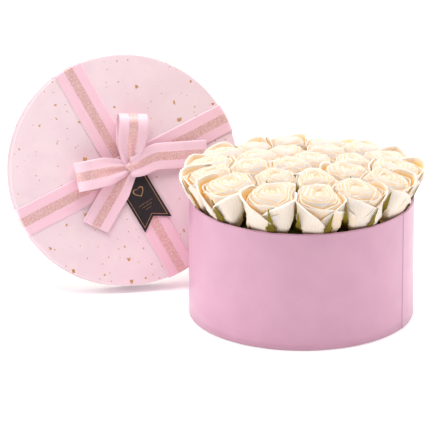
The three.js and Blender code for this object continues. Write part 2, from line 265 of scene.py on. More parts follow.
@dataclass(frozen=True)
class Bouquet:
    """Where the roses stand: three rings of heads, as the drum's solids have them."""

    head_radius: float = 31.0
    head_height: float = 50.0
    head_base: float = 130.0
    rise_to_front: float = 0.03
    seed: int = 29
    turn_jitter: float = 4.0
    lean_jitter: float = 4.0
    radius_jitter: float = 2.0
    rise_jitter: float = 3.0
    least_size: float = 0.97
    size_range: float = 0.08
    rings: tuple[Ring, ...] = (
        Ring(101, 13, 0, (-106, -80, -54, -28, -3, 22, 47, 72, 97, 122, 147, 172, 197, 221)),
        Ring(58, 8, 3.5, (15, 60, 105, 150, 195, 240, 285, 330)),
        Ring(20, 2, 5, (50, 230)),
    )

    def roses(self) -> list[Rose]:
        """Every head's place, with its small random turn, lean, shift, rise, spin and size.

        Returns:
            The places, in the order of the solids' numbers.
        """
        draws = Draws(self.seed)
        placed = [(ring, turn) for ring in self.rings for turn in ring.turns]
        return [self.rose(at + 1, ring, turn, draws) for at, (ring, turn) in enumerate(placed)]

    def rose(self, number: int, ring: Ring, turn: float, draws: Draws) -> Rose:
        """One head's place.

        Args:
            number: the head's number.
            ring: the ring that it stands in.
            turn: where it stands in the ring, in degrees.
            draws: the bouquet's random draws.

        Returns:
            The place.
        """
        angle = math.radians(turn + draws.around(self.turn_jitter))
        outwards = np.array([math.cos(angle), math.sin(angle), 0.0])
        tilt = math.radians(ring.lean + draws.around(self.lean_jitter))
        axis = outwards * math.sin(tilt) + np.array([0, 0, math.cos(tilt)])
        middle = outwards * (ring.radius + draws.around(self.radius_jitter))
        height = self.head_base + self.head_height / 2 + ring.rise - self.rise_to_front * middle[1]
        middle = middle + np.array([0, 0, height + draws.around(self.rise_jitter)])
        side = unit(np.cross(np.cross([0, 0, 1], outwards), axis))
        return Rose(
            number=number,
            axis=axis,
            base=middle - axis * self.head_height / 2,
            middle=middle,
            side=side,
            across=np.cross(axis, side),
            spin=draws.part() * FULL_TURN,
            size=self.least_size + self.size_range * draws.part(),
        )


@dataclass(frozen=True)
class Room:
    """The room of a head: planes half way to its neighbours, the lid's face and the drum's mouth.

    The mouth flares: a point may stand out from the drum's middle by the mouth's radius and a share
    of its height over the rim.
    """

    rose: Rose
    normals: Array
    offsets: Array
    mouth: float = 126.0
    flare: float = 0.5
    rim: float = 141.0
    flattest: float = 1e-6
    halvings: int = 16

    @classmethod
    def of(cls, rose: Rose, roses: list[Rose], lid: LidFrame, clearance: float = 1.5) -> "Room":
        """The room of one head among the others.

        Args:
            rose: the head.
            roses: all heads, this one among them.
            lid: the lid's place.
            clearance: how far every petal stays from the lid's face.

        Returns:
            The head's room.
        """
        others = [other for other in roses if other is not rose]
        along = unit(np.array([rose.axis + other.axis for other in others]))
        apart = np.array([other.middle - rose.middle for other in others])
        normals = unit(apart - along * (along * apart).sum(-1, keepdims=True))
        points = np.array([(rose.middle + other.middle) / 2 for other in others])
        normals = np.vstack([normals, -lid.normal])
        points = np.vstack([points, lid.centre + lid.normal * clearance])
        return cls(rose=rose, normals=normals, offsets=(normals * points).sum(-1))

    def reach(
        self, angle: Array, height: Array, wanted: float, margin: Array, wedge: Array
    ) -> Array:
        """How far from the axis a point may go.

        Along a straight way out, each plane is met where the way's slope to it takes up the slack
        left before it. The flared mouth is met where a square root turns up, so that is halved
        towards.

        Args:
            angle: angles about the head's axis.
            height: heights along it.
            wanted: the furthest distance asked for.
            margin: how far to stay from each bound.
            wedge: how much further to stay from the planes than from the mouth.

        Returns:
            The allowed distances, at most the wanted one.
        """
        angle, height, margin, wedge = np.broadcast_arrays(angle, height, margin, wedge)
        start = self.rose.base + height[..., None] * self.rose.axis
        out = self.rose.out(angle)
        slope = out @ self.normals.T
        slack = self.offsets - (margin + wedge)[..., None] - start @ self.normals.T
        met = slack / np.maximum(slope, self.flattest)
        plane = np.where(slope > self.flattest, met, wanted).min(-1)
        low = np.zeros_like(height)
        high = np.clip(plane, 0, wanted)
        for _ in range(self.halvings):
            middle = (low + high) / 2
            at = start + middle[..., None] * out
            allowed = self.mouth - margin + self.flare * (at[..., 2] - self.rim)
            inside = np.hypot(at[..., 0], at[..., 1]) <= allowed
            low, high = np.where(inside, middle, low), np.where(inside, high, middle)
        return high


# Meshes


@dataclass
class Surface:
    """Points and faces gathered for one piece, with a UV map and named values at its points.

    A face is a row of point numbers and, last, its material's number.
    """

    points: list[Array] = field(default_factory=list)
    quads: list[Array] = field(default_factory=list)
    triangles: list[Array] = field(default_factory=list)
    uv: list[Array] = field(default_factory=list)
    values: dict[str, list[Array]] = field(default_factory=dict)
    count: int = 0

    def add(
        self,
        points: Array,
        quads: Array,
        triangles: Array | None = None,
        uv: Array | None = None,
        numbers: tuple[Array | int, Array | int] = (0, 0),
        **values: Array,
    ) -> None:
        """Adds points and the faces between them.

        Args:
            points: points in millimetres, x, y and z along the last axis.
            quads: four point numbers for each face.
            triangles: three point numbers for each face.
            uv: two numbers for each point.
            numbers: the materials' numbers of the quads and of the triangles.
            **values: a number for each point under each name.
        """
        flat = points.reshape(-1, 3)
        self.points.append(flat)
        some = np.zeros((0, 3), int) if triangles is None else triangles
        for kept, faces, number in zip((self.quads, self.triangles), (quads, some), numbers):
            column = np.broadcast_to(number, len(faces))[:, None]
            kept.append(np.hstack([faces + self.count, column]))
        self.uv.append(np.zeros((len(flat), 2)) if uv is None else uv.reshape(-1, 2))
        for name, value in values.items():
            spread = np.broadcast_to(value, points.shape[:-1]).ravel()
            self.values.setdefault(name, []).append(spread)
        self.count += len(flat)

    def add_shells(self, front: Array, back: Array, uv: Array, **values: tuple) -> None:
        """Adds thin closed bodies, each between a front grid and a back grid of points.

        A grid's rows run up and its columns run round, so that columns by rows points out of its
        front.

        Args:
            front: points as (bodies, rows, columns, 3).
            back: the same for the far side.
            uv: two numbers for each point of the front, used for both sides.
            **values: for each name, the numbers of the front points and of the back points.
        """
        shape = front.shape[:3]
        bodies, rows, columns = shape
        shifts = np.arange(bodies)[:, None, None] * (2 * rows * columns)
        faces = (shell_faces(rows, columns) + shifts).reshape(-1, 4)
        uv = np.broadcast_to(uv, (*shape, 2))
        both = {
            name: np.stack([np.broadcast_to(side, shape) for side in sides], 1)
            for name, sides in values.items()
        }
        self.add(np.stack([front, back], 1), faces, uv=np.stack([uv, uv], 1), **both)

    def add_poled(
        self,
        grid: Array,
        poles: Array,
        uv: Array,
        pole_uv: Array,
        flipped: bool = False,
        numbers: tuple[Array | int, Array | int] = (0, 0),
        **values: tuple,
    ) -> None:
        """Adds a grid whose columns close round, with a pole past its first and its last row.

        Args:
            grid: points as (rows, columns, 3). Columns by rows points out of it.
            poles: the two poles.
            uv: two numbers for each point of the grid.
            pole_uv: two numbers for each pole.
            flipped: whether rows by columns points out of the grid instead.
            numbers: the materials' numbers of the quads and of the triangles.
            **values: for each name, the numbers of the grid's points and the two of the poles.
        """
        rows, columns = grid.shape[:2]
        quads = round_faces(rows, columns, closed=False)
        filled = {
            name: np.append(np.broadcast_to(inner, (rows, columns)), ends)
            for name, (inner, ends) in values.items()
        }
        self.add(
            np.concatenate([grid.reshape(-1, 3), poles]),
            quads[:, ::-1] if flipped else quads,
            pole_faces(rows, columns, flipped),
            np.concatenate([uv.reshape(-1, 2), pole_uv]),
            numbers,
            **filled,
        )

    def add_turned(
        self, profile: Array, angles: Array, swell: Array | float = 0.0, **values: Array
    ) -> None:
        """Adds a closed profile turned about Z.

        Args:
            profile: the profile's radii and heights, one row for each point.
            angles: the angles that it is turned to.
            swell: what is added to the radii, for each point and angle.
            **values: a number for each point and angle under each name.
        """
        radius = profile[:, :1] + swell + 0 * angles[None]
        height = profile[:, 1:] + 0 * angles[None]
        points = np.stack([radius * np.cos(angles), radius * np.sin(angles), height], -1)
        rows, columns = points.shape[:2]
        around, up = np.broadcast_arrays(angles[None], np.linspace(0, 1, rows)[:, None])
        self.add(points, round_faces(rows, columns), uv=np.stack([around, up], -1), **values)

    def build(self, name: str, materials: list[Material], smooth: bool = True) -> Piece:
        """Makes the piece's object, at the origin.

        Args:
            name: the piece's name.
            materials: the piece's finishes, in the order of their numbers.
            smooth: whether the faces are shaded smooth.

        Returns:
            The object, linked to the scene.
        """
        mesh = bpy.data.meshes.new(name)
        quads, triangles = np.concatenate(self.quads), np.concatenate(self.triangles)
        faces = quads[:, :4].tolist() + triangles[:, :3].tolist()
        mesh.from_pydata((np.concatenate(self.points) * MM).tolist(), [], faces)
        numbers = np.concatenate([quads[:, 4], triangles[:, 3]]).astype(np.int32)
        mesh.polygons.foreach_set("material_index", numbers)
        mesh.polygons.foreach_set("use_smooth", np.full(len(numbers), smooth))
        corners = np.zeros(len(mesh.loops), np.int32)
        mesh.loops.foreach_get("vertex_index", corners)
        layer = mesh.uv_layers.new(name="surface")
        layer.data.foreach_set("uv", np.concatenate(self.uv)[corners].astype(np.float32).ravel())
        for key, parts in self.values.items():
            attribute = mesh.attributes.new(key, "FLOAT", "POINT")
            attribute.data.foreach_set("value", np.concatenate(parts).astype(np.float32))
        for material in materials:
            mesh.materials.append(material)
        mesh.update()
        return linked(bpy.data.objects.new(name, mesh))


def linked(made: Piece) -> Piece:
    """An object, after it is linked to the scene."""
    bpy.context.scene.collection.objects.link(made)
    return made


def shell_faces(rows: int, columns: int) -> Array:
    """The quads of a thin closed body.

    Args:
        rows: the rows of its front grid, and of the back grid that follows it.
        columns: their columns.

    Returns:
        The faces of the front, of the back turned round, and of the four sides of the rim.
    """
    front = np.arange(rows * columns).reshape(rows, columns)
    back = front + rows * columns
    parts = (
        [front[:-1, :-1], front[:-1, 1:], front[1:, 1:], front[1:, :-1]],
        [back[:-1, :-1], back[1:, :-1], back[1:, 1:], back[:-1, 1:]],
        [front[0, 1:], front[0, :-1], back[0, :-1], back[0, 1:]],
        [front[-1, :-1], front[-1, 1:], back[-1, 1:], back[-1, :-1]],
        [front[:-1, 0], front[1:, 0], back[1:, 0], back[:-1, 0]],
        [front[1:, -1], front[:-1, -1], back[:-1, -1], back[1:, -1]],
    )
    return np.concatenate([np.stack(part, -1).reshape(-1, 4) for part in parts])


def round_faces(rows: int, columns: int, closed: bool = True) -> Array:
    """The quads of a grid whose columns close round.

    Args:
        rows: the grid's rows.
        columns: its columns.
        closed: whether its rows close round too.

    Returns:
        The faces.
    """
    grid = np.arange(rows * columns).reshape(rows, columns)
    wide = np.concatenate([grid, grid[:, :1]], 1)
    tall = np.concatenate([wide, wide[:1]], 0) if closed else wide
    corners = [tall[:-1, :-1], tall[:-1, 1:], tall[1:, 1:], tall[1:, :-1]]
    return np.stack(corners, -1).reshape(-1, 4)


def pole_faces(rows: int, columns: int, flipped: bool) -> Array:
    """The triangles between a round grid's first and last rows and the two poles that follow it.

    Args:
        rows: the grid's rows.
        columns: its columns.
        flipped: whether the triangles turn the other way round.

    Returns:
        The faces.
    """
    first, pole = np.arange(columns), np.full(columns, rows * columns)
    last = first + (rows - 1) * columns
    low = np.stack([pole, np.roll(first, -1), first], -1)
    high = np.stack([pole + 1, last, np.roll(last, -1)], -1)
    faces = np.concatenate([low, high])
    return faces[:, [0, 2, 1]] if flipped else faces


def grid_normals(points: Array) -> Array:
    """The unit normals of grids of points: the columns' slope crossed with that up the rows."""
    return unit(np.cross(np.gradient(points, axis=-2), np.gradient(points, axis=-3)))


def arc(middle: Pair, radius: float, start: float, end: float, steps: int) -> Array:
    """Points of a round corner about its middle, from one angle to another in degrees."""
    angles = np.radians(np.linspace(start, end, steps))
    return np.stack([middle[0] + radius * np.cos(angles), middle[1] + radius * np.sin(angles)], -1)


# Shader nodes


@dataclass(frozen=True)
class Bench:
    """A node tree being filled: adds nodes, sets their values and links them."""

    tree: Tree

    def node(self, kind: str, inputs: dict | None = None, **settings: object) -> bpy.types.Node:
        """Adds a node.

        Args:
            kind: the node's type, without ShaderNode.
            inputs: for each input's name or number, a value or a socket to link.
            **settings: the node's own settings, set first.

        Returns:
            The node.
        """
        made = self.tree.nodes.new("ShaderNode" + kind)
        for name, value in settings.items():
            setattr(made, name, value)
        for key, value in (inputs or {}).items():
            if isinstance(value, Socket):
                self.tree.links.new(value, made.inputs[key])
            else:
                made.inputs[key].default_value = value
        return made

    def math(self, operation: str, *values: object) -> Socket:
        """The result of a calculation on numbers."""
        return self.node("Math", dict(enumerate(values)), operation=operation).outputs[0]

    def vector(self, operation: str, inputs: dict) -> Socket:
        """The result of a calculation on vectors."""
        return self.node("VectorMath", inputs, operation=operation).outputs[0]

    def mix(self, factor: object, first: object, second: object) -> Socket:
        """A colour between two colours."""
        return self.node("Mix", {0: factor, 6: first, 7: second}, data_type="RGBA").outputs[2]

    def step(self, value: object, low: float, high: float) -> Socket:
        """A smooth step from 0 at low to 1 at high."""
        inputs = {"Value": value, "From Min": low, "From Max": high}
        return self.node("MapRange", inputs, interpolation_type="SMOOTHSTEP").outputs[0]

    def noise(self, vector: object, scale: object, detail: float = 2.0, out: str = "Fac") -> Socket:
        """A cloudy value from 0 to 1, or the noise's Color."""
        inputs = {"Vector": vector, "Scale": scale, "Detail": detail}
        return self.node("TexNoise", inputs).outputs[out]

    def split(self, vector: object) -> Outputs:
        """The three parts of a vector."""
        return self.node("SeparateXYZ", {0: vector}).outputs

    def split_color(self, color: object) -> Outputs:
        """The three parts of a colour."""
        return self.node("SeparateColor", {0: color}).outputs

    def joined(self, first: object, second: object) -> Socket:
        """A vector of two numbers and nought."""
        return self.node("CombineXYZ", {0: first, 1: second}).outputs[0]

    def scaled(self, vector: object, size: tuple[float, float, float]) -> Socket:
        """A vector with each part multiplied."""
        return self.node("Mapping", {"Vector": vector, "Scale": size}).outputs[0]

    def value(self, name: str) -> Socket:
        """The named value at the surface's points."""
        return self.node("Attribute", attribute_name=name).outputs["Fac"]

    def place(self) -> Socket:
        """The piece's own coordinates in metres."""
        return self.node("TexCoord").outputs["Object"]

    def uv(self) -> Socket:
        """The piece's UV map."""
        return self.node("UVMap", uv_map="surface").outputs[0]

    def group(self, tree: Tree, **inputs: object) -> Outputs:
        """What a shared group puts out with these inputs."""
        return self.node("Group", inputs, node_tree=tree).outputs

    def surface(self, inputs: dict, bump: tuple[object, float] | None = None) -> None:
        """Ends a material in one Principled shader.

        Args:
            inputs: the shader's inputs.
            bump: a height and the distance in metres that a height of one stands for.
        """
        if bump is not None:
            normal = self.node("Bump", {"Height": bump[0], "Distance": bump[1], "Strength": 1.0})
            inputs = {**inputs, "Normal": normal.outputs[0]}
        self.node("OutputMaterial", {0: self.node("BsdfPrincipled", inputs).outputs[0]})


def new_bench(name: str) -> tuple[Material, Bench]:
    """An empty node material and the bench to fill it.

    Args:
        name: the material's name.

    Returns:
        The material and the bench.
    """
    material = bpy.data.materials.new(name)
    material.use_nodes = True
    material.node_tree.nodes.clear()
    return material, Bench(material.node_tree)


class Effects:
    """The effects that more than one finish uses, each a node group built once.

    Cloud_share is the clouds' scale as a part of the tooth's, waver how far a vein goes aside, and
    edge where a ribbon's edge starts and is full, as parts of its width from the middle.
    """

    cloud_share: float = 0.04
    waver: float = 0.12
    edge: Pair = (0.47, 0.49)

    def __init__(self) -> None:
        """Builds the groups."""
        self.grain = self.make_grain()
        self.veins = self.make_veins()
        self.stripe = self.make_stripe()

    @staticmethod
    def start(name: str, **inputs: str) -> tuple[Bench, list[Socket]]:
        """Starts a group with its named inputs.

        Args:
            name: the group's name.
            **inputs: each input's name and kind.

        Returns:
            The bench and the inputs' sockets inside the group.
        """
        tree = bpy.data.node_groups.new(name, "ShaderNodeTree")
        for key, kind in inputs.items():
            tree.interface.new_socket(key, in_out="INPUT", socket_type="NodeSocket" + kind)
        return Bench(tree), tree.nodes.new("NodeGroupInput").outputs[:-1]

    @staticmethod
    def end(bench: Bench, **outputs: Socket) -> Tree:
        """Ends a group in numbers of these names.

        Args:
            bench: the group's bench.
            **outputs: each output's name and what it puts out.

        Returns:
            The group.
        """
        for key in outputs:
            bench.tree.interface.new_socket(key, in_out="OUTPUT", socket_type="NodeSocketFloat")
        result = bench.tree.nodes.new("NodeGroupOutput")
        for key, socket in outputs.items():
            bench.tree.links.new(socket, result.inputs[key])
        return bench.tree

    def make_grain(self) -> Tree:
        """Paper grain: a fine tooth as a height, and broad clouds as a tone.

        Returns:
            The group.
        """
        bench, (place, scale) = self.start("paper_grain", Place="Vector", Scale="Float")
        tooth = bench.noise(place, scale, 4.0)
        cloud = bench.noise(place, bench.math("MULTIPLY", scale, self.cloud_share), 3.0)
        return self.end(bench, Height=tooth, Tone=cloud)

    def make_veins(self) -> Tree:
        """Veins: fine broken lines that run up a petal or a leaf, as a height.

        Returns:
            The group.
        """
        inputs = {"Across": "Float", "Along": "Float", "Count": "Float"}
        bench, (across, along, count) = self.start("veins", **inputs)
        soft = bench.noise(bench.joined(across, along), 3.0)
        turns = bench.math("MULTIPLY", bench.math("MULTIPLY_ADD", soft, self.waver, across), count)
        line = bench.math("MULTIPLY_ADD", bench.math("SINE", turns), 0.5, 0.5)
        broken = bench.noise(bench.joined(turns, bench.math("MULTIPLY", along, 2.0)), 0.7)
        return self.end(bench, Height=bench.math("MULTIPLY", line, broken))

    def make_stripe(self) -> Tree:
        """The ribbon's stripe: 1 over the middle band, 1 along the edges, and ribs across it.

        Returns:
            The group.
        """
        inputs = {"Uv": "Vector", "Half": "Float", "Ribs": "Float"}
        bench, (uv, half, ribs) = self.start("ribbon_stripe", **inputs)
        parts = bench.split(uv)
        aside = bench.math("ABSOLUTE", bench.math("SUBTRACT", parts[0], 0.5))
        return self.end(
            bench,
            Stripe=bench.math("LESS_THAN", aside, half),
            Edge=bench.step(aside, *self.edge),
            Ribs=bench.math("SINE", bench.math("MULTIPLY", parts[1], ribs)),
        )


# Finishes


@dataclass(frozen=True)
class PaperFinish:
    """Covered or bare paper board: a colour, a little cloud in it and a fine tooth.

    Clouds are the tones between which dark goes over to light, and depth is the tooth's in metres.
    Where a seam's colour is given, the piece's seam value brings it in: a painted shadow line along
    the step of an overlap.
    """

    name: str
    light: Color
    dark: Color
    roughness: float = 0.6
    tooth: float = 900.0
    depth: float = 0.00004
    coat: float = 0.0
    clouds: Pair = (0.3, 0.7)
    seam: Color | None = None

    def build(self, effects: Effects) -> Material:
        """The finished material.

        Args:
            effects: the shared groups.

        Returns:
            The material.
        """
        material, bench = new_bench(self.name)
        grain = bench.group(effects.grain, Place=bench.place(), Scale=self.tooth)
        color = bench.mix(bench.step(grain["Tone"], *self.clouds), self.dark, self.light)
        # Painted shadow: the seam value darkens a narrow line along the overlap's step.
        if self.seam is not None:
            color = bench.mix(bench.value("seam"), color, self.seam)
        inputs = {"Base Color": color, "Roughness": self.roughness, "Coat Weight": self.coat}
        bench.surface(inputs, (grain["Height"], self.depth))
        return material


@dataclass(frozen=True)
class FlakedPaperFinish:
    """The lid's pale pink paper, with painted shade round its skirt, which takes more light, and
    scattered gold flakes and flecks.

    Spacing and largest are the flakes' in millimetres, small_spacing and small_size the flecks' as
    parts of them, and edges, fine_edges and ragged how fine and how far their edges are broken.
    Least is the smallest chip as a part of the largest, and soft the width of its edge.
    """

    name: str
    light: Color
    dark: Color
    skirt: Color
    flake: Color
    fleck: Color
    spacing: float = 23.0
    largest: float = 1.95
    small_spacing: float = 0.55
    small_size: float = 0.4
    edges: float = 260.0
    fine_edges: float = 700.0
    ragged: float = 2.56
    least: float = 0.15
    soft: float = 0.008
    metal: float = 0.3
    roughness: float = 0.55
    tooth: float = 700.0
    depth: float = 0.00003
    clouds: Pair = (0.35, 0.65)

    def build(self, effects: Effects) -> Material:
        """The finished material, from the lid's unrolled map in metres.

        Args:
            effects: the shared groups.

        Returns:
            The material.
        """
        material, bench = new_bench(self.name)
        grain = bench.group(effects.grain, Place=bench.place(), Scale=self.tooth)
        base = bench.mix(bench.step(grain["Tone"], *self.clouds), self.dark, self.light)
        # Painted shade: the skirt is darker because it takes more light than the face.
        color = bench.mix(bench.value("skirt"), base, self.skirt)
        masks = []
        small = (self.small_spacing * self.spacing, self.small_size * self.largest, self.fine_edges)
        for spacing, largest, edges in ((self.spacing, self.largest, self.edges), small):
            mask, tint = self.scatter(bench, spacing * MM, largest / spacing, edges)
            color = bench.mix(mask, color, bench.mix(tint, self.flake, self.fleck))
            masks.append(mask)
        metal = bench.math("MULTIPLY", bench.math("MAXIMUM", *masks), self.metal)
        inputs = {"Base Color": color, "Roughness": self.roughness, "Metallic": metal}
        bench.surface(inputs, (grain["Height"], self.depth))
        return material

    def scatter(
        self, bench: Bench, spacing: float, largest: float, edges: float
    ) -> tuple[Socket, Socket]:
        """A mask of angular chips, and a random tint for each.

        Args:
            bench: the material's bench.
            spacing: how far apart the chips are, in metres.
            largest: the largest chip's radius in spacings.
            edges: how fine the chips' edges are broken.

        Returns:
            The mask and the tint.
        """
        uv = bench.uv()
        bent = bench.noise(uv, edges, out="Color")
        away = bench.vector("SUBTRACT", {0: bent, 1: (0.5, 0.5, 0.5)})
        push = bench.vector("SCALE", {0: away, "Scale": self.ragged * largest * spacing})
        inputs = {"Vector": bench.vector("ADD", {0: uv, 1: push}), "Scale": 1 / spacing}
        settings = {"distance": "CHEBYCHEV", "voronoi_dimensions": "2D"}
        cells = bench.node("TexVoronoi", inputs, **settings).outputs
        parts = bench.split_color(cells["Color"])
        square = bench.math("POWER", parts[0], 2.0)
        size = bench.math("MULTIPLY_ADD", square, largest, self.least * largest)
        inside = bench.math("SUBTRACT", size, cells["Distance"])
        return bench.step(inside, 0.0, self.soft), parts[1]


@dataclass(frozen=True)
class PetalFinish:
    """Rose petals: cream at the lips, greyish ivory with veins outside, and a painted golden shade
    deep inside.

    Foot_top is how far up a guard petal the foot's colour reaches, vein_tint how far the veins take
    it on, and glow how strongly the painted golden shade glows, a painted glow that is no lamp.
    """

    name: str
    cream: Color
    lip: Color
    gold: Color
    ivory: Color
    foot: Color
    glow: float = 0.17
    veins: float = 150.0
    vein_tint: float = 0.28
    vein_depth: float = 0.00008
    foot_top: float = 0.3
    roughness: float = 0.62
    sheen: float = 0.12
    specular: float = 0.3

    def build(self, effects: Effects) -> Material:
        """The finished material, from each point's painted shade and glow, guard and lip values.

        The golden depth is painted shade in the creases and deep in the head, and it glows faintly:
        a painted glow that stands in for light that comes through the petals.

        Args:
            effects: the shared groups.

        Returns:
            The material.
        """
        material, bench = new_bench(self.name)
        parts = bench.split(bench.uv())
        inputs = {"Across": parts[0], "Along": parts[1], "Count": self.veins}
        veins = bench.group(effects.veins, **inputs)[0]
        guard, warmth, lip = (bench.value(name) for name in ("guard", "warmth", "lip"))
        outside = bench.mix(bench.step(parts[1], self.foot_top, 0.0), self.ivory, self.foot)
        lined = bench.mix(bench.math("MULTIPLY", veins, self.vein_tint), outside, self.foot)
        # Painted shade: gold is mixed in where the petals lie deep in the head or in creases.
        warm = bench.mix(warmth, bench.mix(guard, self.cream, lined), self.gold)
        inputs = {
            "Base Color": bench.mix(lip, warm, self.lip),
            "Roughness": self.roughness,
            "Sheen Weight": self.sheen,
            "Specular IOR Level": self.specular,
            # Painted glow: the golden depth emits light, standing in for light that comes through
            # the petals.
            "Emission Color": bench.mix(warmth, (0.0, 0.0, 0.0, 1.0), self.gold),
            "Emission Strength": self.glow,
        }
        bench.surface(inputs, (veins, self.vein_depth))
        return material


@dataclass(frozen=True)
class LeafFinish:
    """Sepals and stems: olive at the tips, dark at the root, with veins.

    Cloud and cloud_share are the scale of the blotches and how far they shift the colour, and turn
    is where up the leaf the root's colour goes over to the tip's.
    """

    name: str
    tip: Color
    root: Color
    veins: float = 40.0
    vein_depth: float = 0.0001
    cloud: float = 160.0
    cloud_share: float = 0.5
    turn: Pair = (0.05, 0.8)
    roughness: float = 0.7
    specular: float = 0.2

    def build(self, effects: Effects) -> Material:
        """The finished material.

        Args:
            effects: the shared groups.

        Returns:
            The material.
        """
        material, bench = new_bench(self.name)
        parts = bench.split(bench.uv())
        inputs = {"Across": parts[0], "Along": parts[1], "Count": self.veins}
        veins = bench.group(effects.veins, **inputs)[0]
        level = bench.math("SUBTRACT", parts[1], self.cloud_share / 2)
        cloud = bench.noise(bench.place(), self.cloud)
        height = bench.math("MULTIPLY_ADD", cloud, self.cloud_share, level)
        inputs = {
            "Base Color": bench.mix(bench.step(height, *self.turn), self.root, self.tip),
            "Roughness": self.roughness,
            "Specular IOR Level": self.specular,
        }
        bench.surface(inputs, (veins, self.vein_depth))
        return material


@dataclass(frozen=True)
class RibbonFinish:
    """Striped ribbon: pink satin with a middle band of rose-gold glitter, ribbed across.

    Half is the band's half width. Grains and bright are the glitter's cells and the power that
    picks its glints. Streaks, fade and streak_share are the satin's streaks: their scale, the noise
    that they lie between, and their strength.
    """

    name: str
    pink: Color
    edge: Color
    gold: Color
    glint: Color
    half: float = 0.157
    ribs: float = 220.0
    grains: float = 60.0
    bright: float = 2.5
    streaks: tuple[float, float, float] = (30, 1.2, 1)
    fade: Pair = (0.3, 0.75)
    streak_share: float = 0.45
    metal: float = 0.2
    roughness: float = 0.42
    band_roughness: float = -0.05
    rib_height: float = 0.25
    sheen: float = 0.25
    depth: float = 0.00006

    def build(self, effects: Effects) -> Material:
        """The finished material, from the ribbon's UV map: across it, and along it in widths.

        Args:
            effects: the shared groups.

        Returns:
            The material.
        """
        material, bench = new_bench(self.name)
        uv = bench.uv()
        stripe = bench.group(effects.stripe, Uv=uv, Half=self.half, Ribs=self.ribs)
        band = stripe["Stripe"]
        glitter = bench.node("TexVoronoi", {"Vector": uv, "Scale": self.grains}).outputs
        spark = bench.split_color(glitter["Color"])
        gold = bench.mix(bench.math("POWER", spark[0], self.bright), self.gold, self.glint)
        streak = bench.step(bench.noise(bench.scaled(uv, self.streaks), 1.0), *self.fade)
        pink = bench.mix(bench.math("MULTIPLY", streak, self.streak_share), self.pink, self.edge)
        satin = bench.mix(stripe["Edge"], pink, self.edge)
        glittery = bench.math("MULTIPLY", band, spark[1])
        inputs = {
            "Base Color": bench.mix(band, satin, gold),
            "Metallic": bench.math("MULTIPLY", band, self.metal),
            "Roughness": bench.math("MULTIPLY_ADD", band, self.band_roughness, self.roughness),
            "Sheen Weight": self.sheen,
        }
        height = bench.math("MULTIPLY_ADD", stripe["Ribs"], self.rib_height, glittery)
        bench.surface(inputs, (height, self.depth))
        return material


@dataclass(frozen=True)
class FoamFinish:
    """Flower foam: green, with fine open pores painted darker as shade, pores to a metre and edge
    between their tones.
    """

    name: str
    light: Color
    dark: Color
    pores: float = 700.0
    edge: Pair = (0.1, 0.6)
    depth: float = 0.0006
    roughness: float = 0.95

    def build(self) -> Material:
        """The finished material.

        Returns:
            The material.
        """
        material, bench = new_bench(self.name)
        pores = bench.node("TexVoronoi", {"Vector": bench.place(), "Scale": self.pores})
        deep = pores.outputs["Distance"]
        # Painted shade: the colour darkens into the pores' recesses.
        color = bench.mix(bench.step(deep, *self.edge), self.dark, self.light)
        bench.surface({"Base Color": color, "Roughness": self.roughness}, (deep, self.depth))
        return material


@dataclass(frozen=True)
class FoilFinish:
    """Hot-stamped gold foil, a little cloudy in its gloss."""

    name: str
    color: Color
    clouds: float = 2500.0
    gloss: Pair = (0.3, 0.2)
    metal: float = 0.8
    depth: float = 0.00001

    def build(self) -> Material:
        """The finished material.

        Returns:
            The material.
        """
        material, bench = new_bench(self.name)
        cloud = bench.noise(bench.place(), self.clouds)
        rough = bench.math("MULTIPLY_ADD", cloud, *self.gloss)
        inputs = {"Base Color": self.color, "Metallic": self.metal, "Roughness": rough}
        bench.surface(inputs, (cloud, self.depth))
        return material


@dataclass(frozen=True)
class Finishes:
    """All the object's materials."""

    drum_paper: Material
    lid_paper: Material
    board: Material
    foam: Material
    petal: Material
    leaf: Material
    ribbon: Material
    bow: Material
    card: Material
    foil: Material

    @classmethod
    def make(cls) -> "Finishes":
        """Builds every material once.

        Returns:
            The materials.
        """
        effects = Effects()
        # The seam colour is a painted shadow line along the paper's overlap.
        glossy = {"roughness": 0.4, "coat": 0.25, "seam": linear(176, 118, 142)}
        drum = PaperFinish("drum_paper", linear(218, 164, 189), linear(214, 160, 185), **glossy)
        lid = FlakedPaperFinish(
            "lid_paper",
            light=linear(249, 225, 230),
            dark=linear(246, 219, 226),
            # The skirt colour is painted shade for the side that takes more light.
            skirt=linear(214, 184, 194),
            flake=linear(204, 146, 92),
            fleck=linear(228, 178, 128),
        )
        petal = PetalFinish(
            "petal",
            cream=linear(233, 223, 217),
            lip=linear(255, 249, 238),
            gold=linear(246, 200, 118),
            ivory=linear(242, 236, 231),
            foot=linear(208, 184, 134),
        )
        board = PaperFinish("board", linear(228, 219, 206), linear(216, 205, 190), 0.85, 500.0)
        card = PaperFinish("card", linear(34, 29, 34), linear(24, 20, 25), 0.5, 1200.0)
        shared = {
            "edge": linear(255, 222, 231),
            "gold": linear(234, 170, 176),
            "glint": linear(255, 239, 222),
        }
        return cls(
            drum_paper=drum.build(effects),
            lid_paper=lid.build(effects),
            board=board.build(effects),
            foam=FoamFinish("foam", linear(86, 112, 58), linear(44, 62, 30)).build(),
            petal=petal.build(effects),
            leaf=LeafFinish("leaf", linear(136, 122, 22), linear(84, 60, 16)).build(effects),
            ribbon=RibbonFinish("ribbon", linear(253, 204, 219), **shared).build(effects),
            bow=RibbonFinish("bow_ribbon", linear(255, 214, 227), **shared).build(effects),
            card=card.build(effects),
            foil=FoilFinish("foil", linear(214, 172, 122)).build(),
        )


# Sub-assemblies


@dataclass(frozen=True)
class Change:
    """A value that goes over smoothly from low to high between two parts of a head's height."""

    low: float
    high: float
    start: float
    end: float

    def at(self, level: Array, tall: float) -> Array:
        """The value at a height of a head this tall."""
        return blend(self.low, self.high, eased(self.start * tall, self.end * tall, level))


